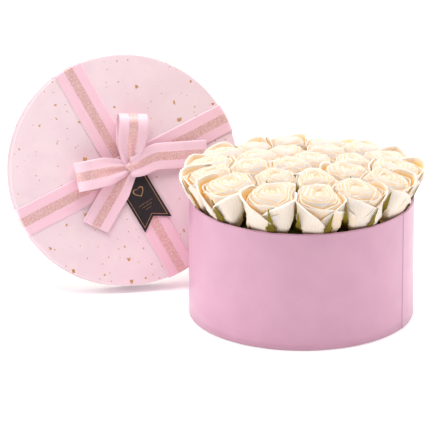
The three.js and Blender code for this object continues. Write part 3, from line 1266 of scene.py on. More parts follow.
@dataclass(frozen=True)
class Whorl:
    """One layer of petals.

    The belly, the rim and the foot are parts of the head's radius, and the top is a part of its
    height. Half is a petal's half width as an angle, and spiral how far its one edge stands out
    over the other. The lip is an arc of curl degrees, and the top line rises by point in the middle
    and falls by drop at the sides. Shift is the layer's turn, and guard says how far it has the
    guard petals' colour.
    """

    belly: float
    rim: float
    top: float
    half: float
    spiral: float
    curl: float
    curl_radius: float
    point: float
    drop: float
    foot: float
    shift: float
    guard: float
    petals: int = 3


@dataclass(frozen=True)
class Chances:
    """How much the petals of a whorl vary: the whole width of each variation, in its own unit."""

    turn: float = 0.4
    half: float = 0.12
    waves: float = 3
    top: float = 0.05
    belly: float = 0.02
    rim: float = 0.05
    bend: float = 0.4
    roll: float = 1.2
    roll_place: float = 3


@dataclass(frozen=True)
class Bud:
    """The closed middle of a head: a dome, and the layers of petals that cover it up to their rims.

    Radius, level and rise are shares of the head's radius and height, blunt the power that makes
    the dome flatter than a ball, and closer that by which the layers crowd towards the top. In
    degrees up the dome are the lowest and the highest rim, a rim's fall to its sides, its slant and
    the edge of its step, and how far the crease over it, painted a golden shade, and the lip and
    bend under it fade.
    Petal, bend and groove are a petal's thickness, how far its rim stands out and how deep the
    crease is. Shift is the turn from layer to layer, half a petal's half width as a part of its
    share of the round, and round how far the corners between neighbours are rounded off.
    """

    layers: tuple[int, ...] = (3, 3, 3, 3, 2, 2)
    rows: int = 86
    columns: int = 132
    radius: float = 0.84
    level: float = 0.74
    rise: float = 0.29
    blunt: float = 0.72
    lowest: float = 10.0
    highest: float = 88.0
    closer: float = 1.6
    fall: float = 30.0
    fall_power: float = 2.6
    slant: float = 7.0
    edge: float = 1.8
    glow: float = 4.0
    lip_width: float = 1.8
    bend_width: float = 7.0
    petal: float = 0.65
    bend: float = 1.6
    groove: float = 1.3
    shift: float = 2.4
    half: float = 0.66
    round: float = 0.5
    # Golden_shade is the strength of the painted golden shade in the creases.
    warm: float = 0.9

    def grid(self) -> tuple[Array, Array]:
        """The degrees up the dome, in rows, and the angles round it, in columns."""
        up = np.concatenate([np.linspace(-50, -8, 7), np.linspace(-5, 88.5, self.rows)])
        return up[:, None], np.linspace(0, FULL_TURN, self.columns, endpoint=False)[None]

    def steps(
        self, up: Array, angle: Array, spin: float, draws: Random
    ) -> tuple[Array, Array, Array]:
        """The steps that the petals make on the dome.

        A point's angle up the dome is compared with each petal's rim there, which is highest in the
        petal's middle and falls with a power of the distance to both sides. Every petal that covers
        the point adds its thickness, the outermost one bends out towards its rim, and over the rim
        lies a groove.

        Args:
            up: the points' degrees up the dome.
            angle: their angles round it.
            spin: the head's own turn.
            draws: the head's random draws.

        Returns:
            The share of lip at each point, that of crease, and the thickness over the dome.
        """
        layers = np.array(self.layers)
        layer = np.repeat(np.arange(len(layers)), layers)[:, None, None]
        first = np.repeat(np.cumsum(layers) - layers, layers)[:, None, None]
        place = np.arange(len(layer))[:, None, None] - first
        share, inner = FULL_TURN / layers[layer], layer / len(layers)
        vary = Vary(draws, len(layer))
        turn = spin + place * share + layer * self.shift + vary(0.5)
        apart = (angle - turn + math.pi) % FULL_TURN - math.pi
        apart = apart / (share * (self.half + vary(0.1)))
        middle = blend(self.lowest, self.highest, 1 - (1 - inner) ** self.closer) + vary(4)
        wave = 0.9 * np.sin(angle * 4 + vary(ANY_PHASE)) + 0.5 * np.sin(angle * 9 + vary(ANY_PHASE))
        line = self.slant * apart - self.fall * np.abs(apart) ** self.fall_power + wave
        inside = middle + (1 - 0.7 * inner) * line - up
        cover = eased(0, self.edge, inside)
        seen = np.cumprod(np.concatenate([np.ones_like(cover[:1]), 1 - cover[:-1]]), 0)
        lip, bent = (
            (cover * seen * np.exp(-np.maximum(inside, 0) / width)).sum(0)
            for width in (self.lip_width, self.bend_width)
        )
        crease = (seen * (1 - cover) * np.exp(-np.maximum(-inside, 0) / self.glow)).max(0)
        thick = self.petal * cover.sum(0) + self.bend * bent - self.groove * crease
        return lip, crease, thick


@dataclass(frozen=True)
class Sepals:
    """The leaves of a calyx.

    Foot is where they start and stand_off how far their tips stand away, in millimetres, and low
    and high are how far up the head they reach at least and how much more where they are free.
    Wide and thin are the widths of the leaf's body and of its long tip.
    """

    count: int = 5
    rows: int = 26
    columns: int = 9
    seed: int = 100
    half_thickness: float = 0.3
    foot: float = -3.2
    low: float = 0.44
    high: float = 0.5
    wide: float = 16.0
    thin: float = 2.7
    stand_off: float = 1.4


@dataclass
class Roses:
    """The rose heads, each a bud in whorls of thin petals, and their sepals and stems.

    Asked is the furthest reach of a petal and widest a head's free width, as parts of its radius,
    and most how far it may be pushed out. Margin is the room left for sepals and lips, and wedge
    how much further the heads draw in low down. Back_drop, inward_drop and pressed_drop are how
    much lower heads at the back, petals that look inwards and pressed ones are.
    """

    bouquet: Bouquet
    lid: LidFrame
    finishes: Finishes
    body_rows: int = 12
    curl_rows: int = 5
    columns: int = 19
    thickness: float = 0.36
    asked: float = 1.3
    margin: Change = Change(1.6, 0.3, start=0.5, end=0.72)
    most: Change = Change(1.16, 1.06, start=0.3, end=0.6)
    widest: Change = Change(0.97, 1.12, start=0.2, end=0.85)
    wedge: float = 6.2
    back_drop: float = 0.13
    inward_drop: float = 0.16
    pressed_drop: float = 0.14
    body_part: float = 0.92
    lip_part: float = 0.08
    whorls: tuple[Whorl, ...] = (
        Whorl(
            belly=1.02, rim=1.09, top=0.97, half=1.30, spiral=0.045, curl=140, curl_radius=2.0,
            point=0.12, drop=0.46, foot=0.30, shift=1.05, guard=1.0,
        ),
        Whorl(
            belly=0.975, rim=1.02, top=0.95, half=1.25, spiral=0.035, curl=110, curl_radius=1.1,
            point=0.06, drop=0.26, foot=0.27, shift=0.1, guard=0.8,
        ),
        Whorl(
            belly=0.94, rim=0.94, top=0.94, half=1.20, spiral=0.030, curl=90, curl_radius=0.8,
            point=0.03, drop=0.12, foot=0.25, shift=1.2, guard=0.2,
        ),
    )
    chances: Chances = Chances()
    bud: Bud = Bud()
    sepals: Sepals = Sepals()

    def build(self) -> list[Piece]:
        """Makes every head and calyx.

        Returns:
            The pieces.
        """
        roses = self.bouquet.roses()
        made = []
        for rose in roses:
            room = Room.of(rose, roses, self.lid)
            made += [self.head(rose, room), self.calyx(rose, room)]
        return made

    def head(self, rose: Rose, room: Room) -> Piece:
        """One head: all its whorls and its bud in one mesh.

        Args:
            rose: the head's place.
            room: its room.

        Returns:
            The piece.
        """
        surface = Surface()
        draws = np.random.default_rng(self.bouquet.seed + rose.number)
        for whorl in self.whorls:
            self.add_whorl(surface, rose, room, whorl, draws)
        self.add_bud(surface, rose, room, draws)
        piece = surface.build("rose_head_" + rose.label, [self.finishes.petal])
        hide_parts("bloom_" + rose.label)
        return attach(piece, "root")

    def calyx(self, rose: Rose, room: Room) -> Piece:
        """One calyx: a stem that swells under the head, and sepals up against the head's outside.

        Args:
            rose: the head's place.
            room: its room.

        Returns:
            The piece.
        """
        surface = Surface()
        self.add_stem(surface, rose)
        self.add_sepals(surface, rose, room)
        piece = surface.build("rose_calyx_" + rose.label, [self.finishes.leaf])
        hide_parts("calyx_" + rose.label)
        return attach(piece, "root")

    def sizes(self, rose: Rose) -> Pair:
        """A head's radius and height: the heads at the back open wider and stand lower."""
        tall = self.bouquet.head_height * (1 - self.back_drop * eased(-50, 100, rose.middle[1]))
        return self.bouquet.head_radius * rose.size, tall

    @staticmethod
    def outwards(rose: Rose) -> float:
        """The angle about a head's axis that looks out of the bouquet."""
        return math.atan2(rose.middle @ rose.across, rose.middle @ rose.side)

    @staticmethod
    def ringed(rose: Rose) -> float:
        """How far a head stands among others: 0 in the outer ring, 1 inside it."""
        return 1 - float(eased(65, 95, np.hypot(rose.middle[0], rose.middle[1])))

    def fullness(self, rose: Rose, angle: Array, rise: Array) -> Array:
        """How far a petal has come out to its belly: a power of a sine.

        Args:
            rose: the head.
            angle: angles about its axis. Where it looks out of the bouquet it is widest low down.
            rise: how far up the petal the points are.

        Returns:
            The shares, from 0 to 1.
        """
        facing = np.cos(angle - self.outwards(rose)) * (1 - self.ringed(rose))
        return np.sin(np.minimum(rise / 0.6, 1) * math.pi / 2) ** (0.46 - 0.22 * facing)

    def pressed(self, room: Room, angle: Array, height: Array) -> Array:
        """How much a head is pressed in by its neighbours and the mouth.

        Args:
            room: the head's room.
            angle: angles about its axis.
            height: heights along it.

        Returns:
            The allowed reach as a share of the free width.
        """
        tall = self.bouquet.head_height
        level = np.clip(height, 0.2 * tall, 0.95 * tall)
        radius = self.bouquet.head_radius * room.rose.size
        wedge = self.wedge * (1 - eased(0.18 * tall, 0.66 * tall, level))
        margin = self.margin.at(level, tall)
        reach = room.reach(angle, level, self.asked * radius, margin, wedge)
        return np.minimum(reach / (self.widest.at(level, tall) * radius), self.most.at(level, tall))

    def add_whorl(
        self, surface: Surface, rose: Rose, room: Room, whorl: Whorl, draws: Random
    ) -> None:
        """Adds a whorl's petals.

        A petal's body rises from the foot to its top line. Its radius grows as a power of a sine to
        the belly and then, with the square of the height, goes over to the rim's. The top line is
        highest in the middle and falls to both sides, and lower where the petal looks inwards or is
        pressed. From it the lip rolls outwards.

        Args:
            surface: where the petals go.
            rose: the head.
            room: the head's room.
            whorl: the layer.
            draws: the head's random draws.
        """
        radius, tall = self.sizes(rose)
        outwards, ringed = self.outwards(rose), self.ringed(rose)
        vary, chances = Vary(draws, whorl.petals), self.chances
        across = np.linspace(-1, 1, self.columns)[None, None, :]
        side = np.abs(across)
        rise = np.linspace(0, 1, self.body_rows)[None, :, None] ** 1.15
        own = outwards + whorl.shift + 0.9 * (rose.share(whorl.petals) - 0.5)
        turn = own + np.arange(whorl.petals)[:, None, None] * FULL_TURN / whorl.petals
        turn = turn + vary(chances.turn)
        half = whorl.half * (1 + vary(chances.half))
        angle = turn + across * (half * (0.55 + 0.45 * eased(0, 0.6, rise)))
        wave = 0.016 * np.sin(across * (5 + vary(chances.waves)) + vary(ANY_PHASE))
        wave = wave + 0.01 * np.sin(across * 11 + vary(ANY_PHASE))
        free = self.pressed(room, turn + across * half, self.bouquet.head_height * 0.8 + 0 * turn)
        sunk = self.inward_drop * np.maximum(eased(-0.2, 0.5, -np.cos(turn - outwards)), ringed)
        sunk = sunk + self.pressed_drop * ringed * (1 - eased(0.55, 0.85, free))
        drop = whorl.drop * (0.84 + 0.35 * rose.share(11)) * side**2.4
        top = whorl.top + vary(chances.top) - sunk - drop + whorl.point * (1 - side**1.3)
        height = tall * (top + 0.8 * wave) * rise
        ripple = wave * 1.2 * eased(0.4, 1, rise)
        tuck = whorl.spiral * across * eased(0.05, 0.5, rise) - 0.015 * side**4 * rise
        belly = whorl.belly * (1 + vary(chances.belly))
        full = blend(whorl.foot, belly, self.fullness(rose, angle, rise))
        rim = whorl.rim + vary(chances.rim)
        share = full + (rim - belly) * (np.maximum(rise - 0.45, 0) / 0.55) ** 2 + ripple + tuck
        rolled = np.linspace(0, 1, self.curl_rows + 1)[None, 1:, None]
        out, height = self.with_lip(radius * share, height, rolled, across, free, whorl, vary)
        angle = np.concatenate([angle, np.repeat(angle[:, -1:], self.curl_rows, 1)], 1)
        out = np.maximum(out, 0.6) * self.pressed(room, angle, height)
        middle = rose.points(out, angle, height)
        normals = grid_normals(middle) * self.thickness / 2
        body, lip = self.body_part * rise, self.body_part + self.lip_part * rolled
        length = np.concatenate([body, lip], 1)
        # Painted golden shade towards each petal's foot, deep in the head; outside the guard petals
        # it grows where the head is hidden among others, and the guard colour fades there.
        warm = np.clip(4.5 * (1 - length), 0, 1)
        hidden = np.maximum(ringed, 1 - eased(0.72, 1.0, free))
        outer = (1 - (0.85 - 0.85 * hidden) * whorl.guard) * warm
        inner = np.clip(1.1 * warm + 0.06, 0, 1)
        lip = eased(0.86, 1.0, length)
        surface.add_shells(
            middle + normals,
            middle - normals,
            np.stack(np.broadcast_arrays(across / 2 + 0.5 + turn, length), -1),
            warmth=(outer * (1 - lip), inner * (1 - lip)),
            guard=(whorl.guard * (1 - 0.5 * lip) * (1 - 0.6 * hidden), 0.0),
            lip=(lip, 0.8 * lip),
        )

    def with_lip(
        self,
        out: Array,
        height: Array,
        rolled: Array,
        across: Array,
        free: Array,
        whorl: Whorl,
        vary: Vary,
    ) -> tuple[Array, Array]:
        """Rolls the lips outwards from the petals' top lines.

        A lip is an arc that starts along the petal's slope, tightest at its sides and where the
        petal is pressed.

        Args:
            out: the bodies' distances from the axis.
            height: their heights.
            rolled: how far round the arc each row of the lip is.
            across: how far across the petal each column is.
            free: how free each column is.
            whorl: the layer.
            vary: the petals' variations.

        Returns:
            The distances and the heights, the lips' rows last.
        """
        side, chances = np.abs(across), self.chances
        slope = np.arctan2(out[:, -1:] - out[:, -2:-1], height[:, -1:] - height[:, -2:-1])
        bend = np.radians(whorl.curl * (1 + vary(chances.bend))) * (0.75 + 0.35 * side)
        roll = whorl.curl_radius * (1 + vary(chances.roll))
        roll = roll * (0.7 + 0.5 * np.abs(np.sin(across * 2.2 + vary(chances.roll_place))))
        roll = roll * free * (1 - 0.55 * side**2)
        turned = slope + bend * rolled
        lip_out = out[:, -1:] + roll * (np.cos(slope) - np.cos(turned))
        lip_height = height[:, -1:] + roll * (np.sin(turned) - np.sin(slope))
        return np.concatenate([out, lip_out], 1), np.concatenate([height, lip_height], 1)

    def add_bud(self, surface: Surface, rose: Rose, room: Room, draws: Random) -> None:
        """Adds the closed bud: a dome that steps down at the rim of every petal that covers it.

        Args:
            surface: where the bud goes.
            rose: the head.
            room: the head's room.
            draws: the head's random draws.
        """
        bud, (radius, tall) = self.bud, self.sizes(rose)
        up, angle = bud.grid()
        lip, crease, thick = bud.steps(up, angle, rose.spin, draws)
        slope = np.radians(up)
        upwards = np.sign(slope) * np.abs(np.sin(slope)) ** bud.blunt
        out = bud.radius * radius * np.cos(slope) ** bud.blunt + thick * np.cos(slope)
        height = tall * (bud.level + bud.rise * upwards) + thick * np.sin(slope)
        pressed = self.pressed(room, angle, height)
        rounder = blend(pressed, pressed.mean(-1, keepdims=True), bud.round)
        surface.add_poled(
            rose.points(out * np.minimum(pressed, rounder), angle, height),
            rose.poles(height[0].mean() - 1, height[-1].mean() + 0.1),
            np.stack(np.broadcast_arrays(angle / 2, 1 + up / 300), -1),
            np.array([[0, 1], [0, 1]]),
            # Painted golden shade and glow in each crease over a petal's rim.
            warmth=(bud.warm * (crease * (1 - lip)), (0.5, 0)),
            guard=(0.0, (0, 0)),
            lip=(0.8 * lip, (0, 0)),
        )

    def add_stem(self, surface: Surface, rose: Rose) -> None:
        """Adds the stem and its swelling: a closed profile turned about the head's axis.

        Args:
            surface: where the stem goes.
            rose: the head.
        """
        swell = 0.22 * self.bouquet.head_radius * rose.size
        heights = np.array([-62, -61.4, -40, -20, -12, -9, -6.5, -4.2, -2.6, -1.4, -0.9])
        stalk, cup = [2.2, 2.6, 2.6, 2.6, 2.7, 3.3], np.array([0.7, 0.95, 1, 0.9, 0.6]) * swell
        radii = np.concatenate([stalk, cup])[:, None]
        angles = np.linspace(0, FULL_TURN, 12, endpoint=False)[None]
        grid = rose.points(radii, angles, heights[:, None])
        uv = np.stack(np.broadcast_arrays(angles, 0.3 + 0 * radii), -1)
        poles = rose.poles(heights[0], heights[-1])
        surface.add_poled(grid, poles, uv, np.array([[0, 0.3], [0, 0.3]]))

    def add_sepals(self, surface: Surface, rose: Rose, room: Room) -> None:
        """Adds the sepals, thin leaves that follow the guard petals' outside and taper to a tip.

        A leaf is widest low down, with a few jagged lobes, and its tip stands off a little. Where
        the head is free on that side it reaches further up.

        Args:
            surface: where the sepals go.
            rose: the head.
            room: the head's room.
        """
        leaf, (radius, tall) = self.sepals, self.sizes(rose)
        vary = Vary(np.random.default_rng(leaf.seed + rose.number), leaf.count)
        turned = np.arange(leaf.count)[:, None, None] + 0.8 * (rose.share(3.7) - 0.5)
        turn = self.outwards(rose) + turned * FULL_TURN / leaf.count + vary(0.35)
        free = eased(0.5, 0.8, self.pressed(room, turn, np.array(0.7 * tall)))
        along = np.linspace(0, 1, leaf.rows)[None, :, None]
        across = np.linspace(-1, 1, leaf.columns)[None, None, :]
        more = (leaf.high + vary(0.26)) * free * (1 - 0.7 * self.ringed(rose))
        height = blend(leaf.foot, tall * (leaf.low + more), along)
        level = np.maximum(height, 0) / (0.8 * tall)
        guard = 0.3 + 0.73 * self.fullness(rose, turn, level) + 0.06 * eased(0.5, 1, level)
        lobes = 0.8 * np.maximum(0, np.sin(along * 31 + vary(3))) * (1 - eased(0.4, 0.8, along))
        wide = leaf.wide * (1 - along) ** 2.6 * (0.55 + lobes) + leaf.thin * (1 - along) ** 0.5
        base = np.maximum(radius * guard * eased(-0.02, 0.1, along), 0.2 * radius)
        out = base * self.pressed(room, turn, height) + self.margin.low
        out = out + (leaf.stand_off + vary(1.0)) * along**2 * free
        angle = turn + vary(0.16) * along**2 + across * wide / np.maximum(out, 6)
        middle = rose.points(out + 0.5 * across**2 * (1 - along), angle, height + 0 * across)
        normals = grid_normals(middle) * leaf.half_thickness
        uv = np.stack(np.broadcast_arrays(across / 2 + 0.5, along), -1)
        surface.add_shells(middle + normals, middle - normals, uv)


@dataclass
class Drum:
    """The paper-covered drum: its board wall, the paper round it and over its lip, and its base.

    Paper is the room that the paper takes, skin the sheet's own thickness, gap the air under it,
    and turn_in how far it goes down inside. Seam is the seam's angle in degrees. There the paper
    stands out by a step, which fades over seam_fade degrees, and a painted shadow line, seam_shadow
    degrees wide, darkens it along the step.
    """

    finishes: Finishes
    nodes: dict[str, Piece]
    radius: float = 130.0
    height: float = 140.0
    wall: float = 2.2
    paper: float = 0.6
    skin: float = 0.3
    gap: float = 0.3
    lip_rise: float = 0.6
    board_drop: float = 0.5
    turn_in: float = 22.0
    seam: float = -28.0
    seam_step: float = 0.45
    seam_fade: float = 9.0
    seam_shadow: float = 0.45
    sides: int = 256

    def build(self) -> list[Piece]:
        """Makes the wall and the paper, and dresses the base and the foam.

        Returns:
            The pieces.
        """
        dress(self.nodes["box_base"], self.finishes.board)
        dress(self.nodes["foam"], self.finishes.foam)
        return [self.board_wall(), self.paper_cover()]

    def board_wall(self) -> Piece:
        """The board tube, its rim just under the paper.

        Returns:
            The piece.
        """
        outer = self.radius - self.paper - self.gap
        inner, top = outer - self.wall, self.height - self.board_drop
        profile = np.array([[outer, 0], [outer, top], [inner, top], [inner, 0]])
        surface = Surface()
        surface.add_turned(profile, np.radians(np.linspace(0, 360, self.sides, endpoint=False)))
        piece = surface.build("drum_wall", [self.finishes.board], smooth=False)
        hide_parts("box_wall")
        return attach(piece, "root")

    def paper_cover(self) -> Piece:
        """The paper: up the outside, over the lip and down inside, stepped where its ends overlap.

        The overlap stands out at the seam and fades with an exponential round the drum, and a
        narrow painted shadow line darkens the paper along its step.

        Returns:
            The piece.
        """
        outer, skin, top = self.radius, self.skin, self.height
        inner = outer - self.paper - self.gap - self.wall - skin
        middle, over = (outer + inner) / 2, (outer - inner) / 2
        shoulder, low = top - over, top - self.turn_in
        centre = (middle, shoulder + self.lip_rise)
        outside = np.stack([np.full(9, outer), np.linspace(self.gap, shoulder, 9)], -1)
        ends = [[inner, low], [inner + skin, low]]
        back = [[outer - skin, shoulder], [outer - skin, self.gap]]
        rim, under = arc(centre, over, 0, 180, 11), arc(centre, over - skin, 180, 0, 11)
        profile = np.concatenate([outside, rim, ends, under, back])
        seam = self.seam_shadow
        past = np.concatenate([[0, seam], np.linspace(1.5, 358.5, self.sides - 3), [360 - seam]])
        step = self.seam_step * np.exp(-past / self.seam_fade)
        weight = eased(middle, outer - skin, profile[:, :1])
        # Painted shadow: the seam value marks the narrow line that is darkened along the step.
        line = (np.minimum(past, 360 - past) < 0.5 * seam) * weight
        surface = Surface()
        surface.add_turned(profile, np.radians(self.seam + past), weight * step[None], seam=line)
        piece = surface.build("drum_paper", [self.finishes.drum_paper])
        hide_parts("box_paper")
        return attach(piece, "root")


def dress(node: Piece, finish: Material) -> None:
    """Gives a solid of the frame its finish."""
    node.data.materials.clear()
    node.data.materials.append(finish)


@dataclass
class Lid:
    """The shallow lid: flaked paper over its face and skirt, and a plain lining inside."""

    frame: LidFrame
    finishes: Finishes
    round: float = 1.3
    lining_round: float = 1.0
    lining_start: float = 30.0
    sides: int = 240

    def build(self) -> list[Piece]:
        """Makes the lid."""
        return [self.shell()]

    def shell(self) -> Piece:
        """The lid: one profile turned about its axis, from the face round to the lining.

        Returns:
            The piece.
        """
        radius, depth, wall = self.frame.radius, self.frame.depth, self.frame.wall
        inner, soft = radius - wall, self.lining_round
        face = np.stack([np.linspace(0.1, 0.97, 8) * (radius - self.round), np.zeros(8)], -1)
        shoulder = arc((radius - self.round, -self.round), self.round, 90, 0, 7)
        skirt = [[radius, -depth * part] for part in (0.35, 0.7)]
        lip = arc((radius - wall / 2, -depth + wall / 2), wall / 2, 0, -180, 9)
        outside = np.concatenate([face, shoulder, skirt, lip])
        corner = [[inner, -depth / 2], [inner, -wall - soft], [inner - soft, -wall]]
        profile = np.concatenate([outside, corner, [[self.lining_start, -wall]]])
        angles = np.linspace(0, FULL_TURN, self.sides, endpoint=False)
        cosine, sine = np.cos(angles), np.sin(angles)
        radii, heights = profile[:, :1], profile[:, 1:] + 0 * angles
        unrolled = (radii - heights) * MM
        lined = np.arange(len(profile) - 1) >= len(outside) - 1
        surface = Surface()
        surface.add_poled(
            self.frame.place(radii * cosine, radii * sine, heights),
            self.frame.place(np.zeros(2), np.zeros(2), np.array([0, -wall])),
            np.stack([unrolled * cosine, unrolled * sine], -1),
            np.zeros((2, 2)),
            flipped=True,
            numbers=(np.repeat(lined.astype(int), self.sides), np.repeat([0, 1], self.sides)),
            # Where the painted shade of the skirt goes.
            skirt=(eased(-0.5 * self.round, -1.2 * self.round, heights), (0, 0)),
        )
        piece = surface.build("lid_shell", [self.finishes.lid_paper, self.finishes.board])
        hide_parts("lid_disc", "lid_band")
        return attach(piece, "root")


class Hold(Enum):
    """How a strip of ribbon is held."""

    STRETCHED = "stretched"
    GATHERED = "gathered"


@dataclass
class Ribbons:
    """The two striped ribbons round the lid.

    Tuck is how far each goes up inside the open rim. Between crest_from and crest_to from the
    middle the upper one rises by its crest over the lower one. Proud is how far they stand off the
    lid's shoulder, corner the radius of their bend there, and bow_from where their rows bow.
    """

    frame: LidFrame
    finishes: Finishes
    width: float = 35.0
    thickness: float = 0.5
    gap: float = 0.3
    tuck: float = 14.0
    crests: tuple[tuple[str, float, float], ...] = (
        ("ribbon_under", -64.0, 0.0),
        ("ribbon_over", 23.0, 0.9),
    )
    crest_from: float = 40.6
    crest_to: float = 21.7
    proud: float = 1.3
    corner: float = 2.2
    ripple: float = 0.12
    ripple_length: float = 23.0
    bow_from: float = 100.0
    columns: int = 19

    @property
    def inside(self) -> float:
        """The radius at which a ribbon lies inside the rim."""
        return self.frame.radius - self.frame.wall - self.gap - self.thickness

    def build(self) -> list[Piece]:
        """Makes the lower ribbon and then the one that crosses over it."""
        return [self.ribbon(*crest) for crest in self.crests]

    def path(self, crest: float) -> Array:
        """A ribbon's path: from inside the open rim up the skirt, over the face and down again.

        Args:
            crest: how much it rises over the other ribbon.

        Returns:
            A radius and a height for each point, the radii below nought on the near side.
        """
        depth, outer, inside = self.frame.depth, self.frame.radius + self.gap, self.inside
        half_wall = (outer - inside) / 2
        tucked = np.stack([np.full(4, inside), np.linspace(self.tuck - depth, -depth + 1, 4)], -1)
        under = arc((inside + half_wall, -depth), half_wall, -180, 0, 9)
        skirt = np.stack([np.full(6, outer), np.linspace(3 - depth, -4, 6)], -1)
        bend = (outer - self.corner + self.proud * 0.6, -self.corner + self.gap + 0.3)
        shoulder = arc(bend, self.corner, 0, 90, 9)
        face = np.linspace(outer - 6, self.crest_from + 2, 14)
        radii = np.concatenate([face, np.linspace(self.crest_from, 0, 12)])
        over = self.gap + crest * (1 - eased(self.crest_to, self.crest_from, radii))
        half = np.concatenate([tucked, under, skirt, shoulder, np.stack([radii, over], -1)])
        return np.concatenate([half * [-1, 1], half[::-1][1:]])

    def ribbon(self, node: str, turn: float, crest: float) -> Piece:
        """One ribbon. A row of it is straight on the face and bows to the lid's round on the skirt.

        Args:
            node: the solid that it replaces.
            turn: its direction across the face in degrees.
            crest: how much it rises over the other ribbon.

        Returns:
            The piece.
        """
        path = self.path(crest)
        radius, height = path[:, :1], path[:, 1:]
        length = lengths(path[:, 0], path[:, 1])
        aside = np.linspace(0.5, -0.5, self.columns)[None] * self.width
        far = np.abs(radius)
        bowed = np.sqrt(np.maximum(radius**2 - aside**2 * (far > 20), 0)) * np.sign(radius)
        along = blend(radius, bowed, eased(self.bow_from, self.inside, far))
        waves = np.sin(length[:, None] / self.ripple_length + turn)
        height = height + 0 * aside + self.ripple * waves * (aside / self.width) * 2
        middle = self.frame.place_along((0.0, 0.0), turn, along, aside, height)[None]
        normals = grid_normals(middle) * self.thickness / 2
        across, up = aside / self.width + 0.5, length[:, None] / self.width
        surface = Surface()
        uv = np.stack(np.broadcast_arrays(across, up), -1)
        surface.add_shells(middle + 2 * normals, middle, uv)
        piece = surface.build(node + "_cloth", [self.finishes.ribbon])
        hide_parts(node)
        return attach(piece, "root")


@dataclass(frozen=True)
class Strip:
    """One strip of the bow: its name, its direction on the face in degrees and its full width.

    Open over is the part of its length over which it opens to that width, slant how much further
    one edge of its end reaches, and bend how far it shifts aside as it leaves the knot.
    """

    name: str
    turn: float
    width: float = 34.0
    open_over: float = 0.45
    slant: float = 0.0
    bend: float = 0.0


@dataclass(frozen=True)
class Loop:
    """One loop of the bow: its strip, its length and its height."""

    strip: Strip
    length: float
    height: float


@dataclass(frozen=True)
class Tail:
    """One tail of the bow: its strip, its length, its swell off the face and its end's rise."""

    strip: Strip
    length: float
    lift: float
    rise: float


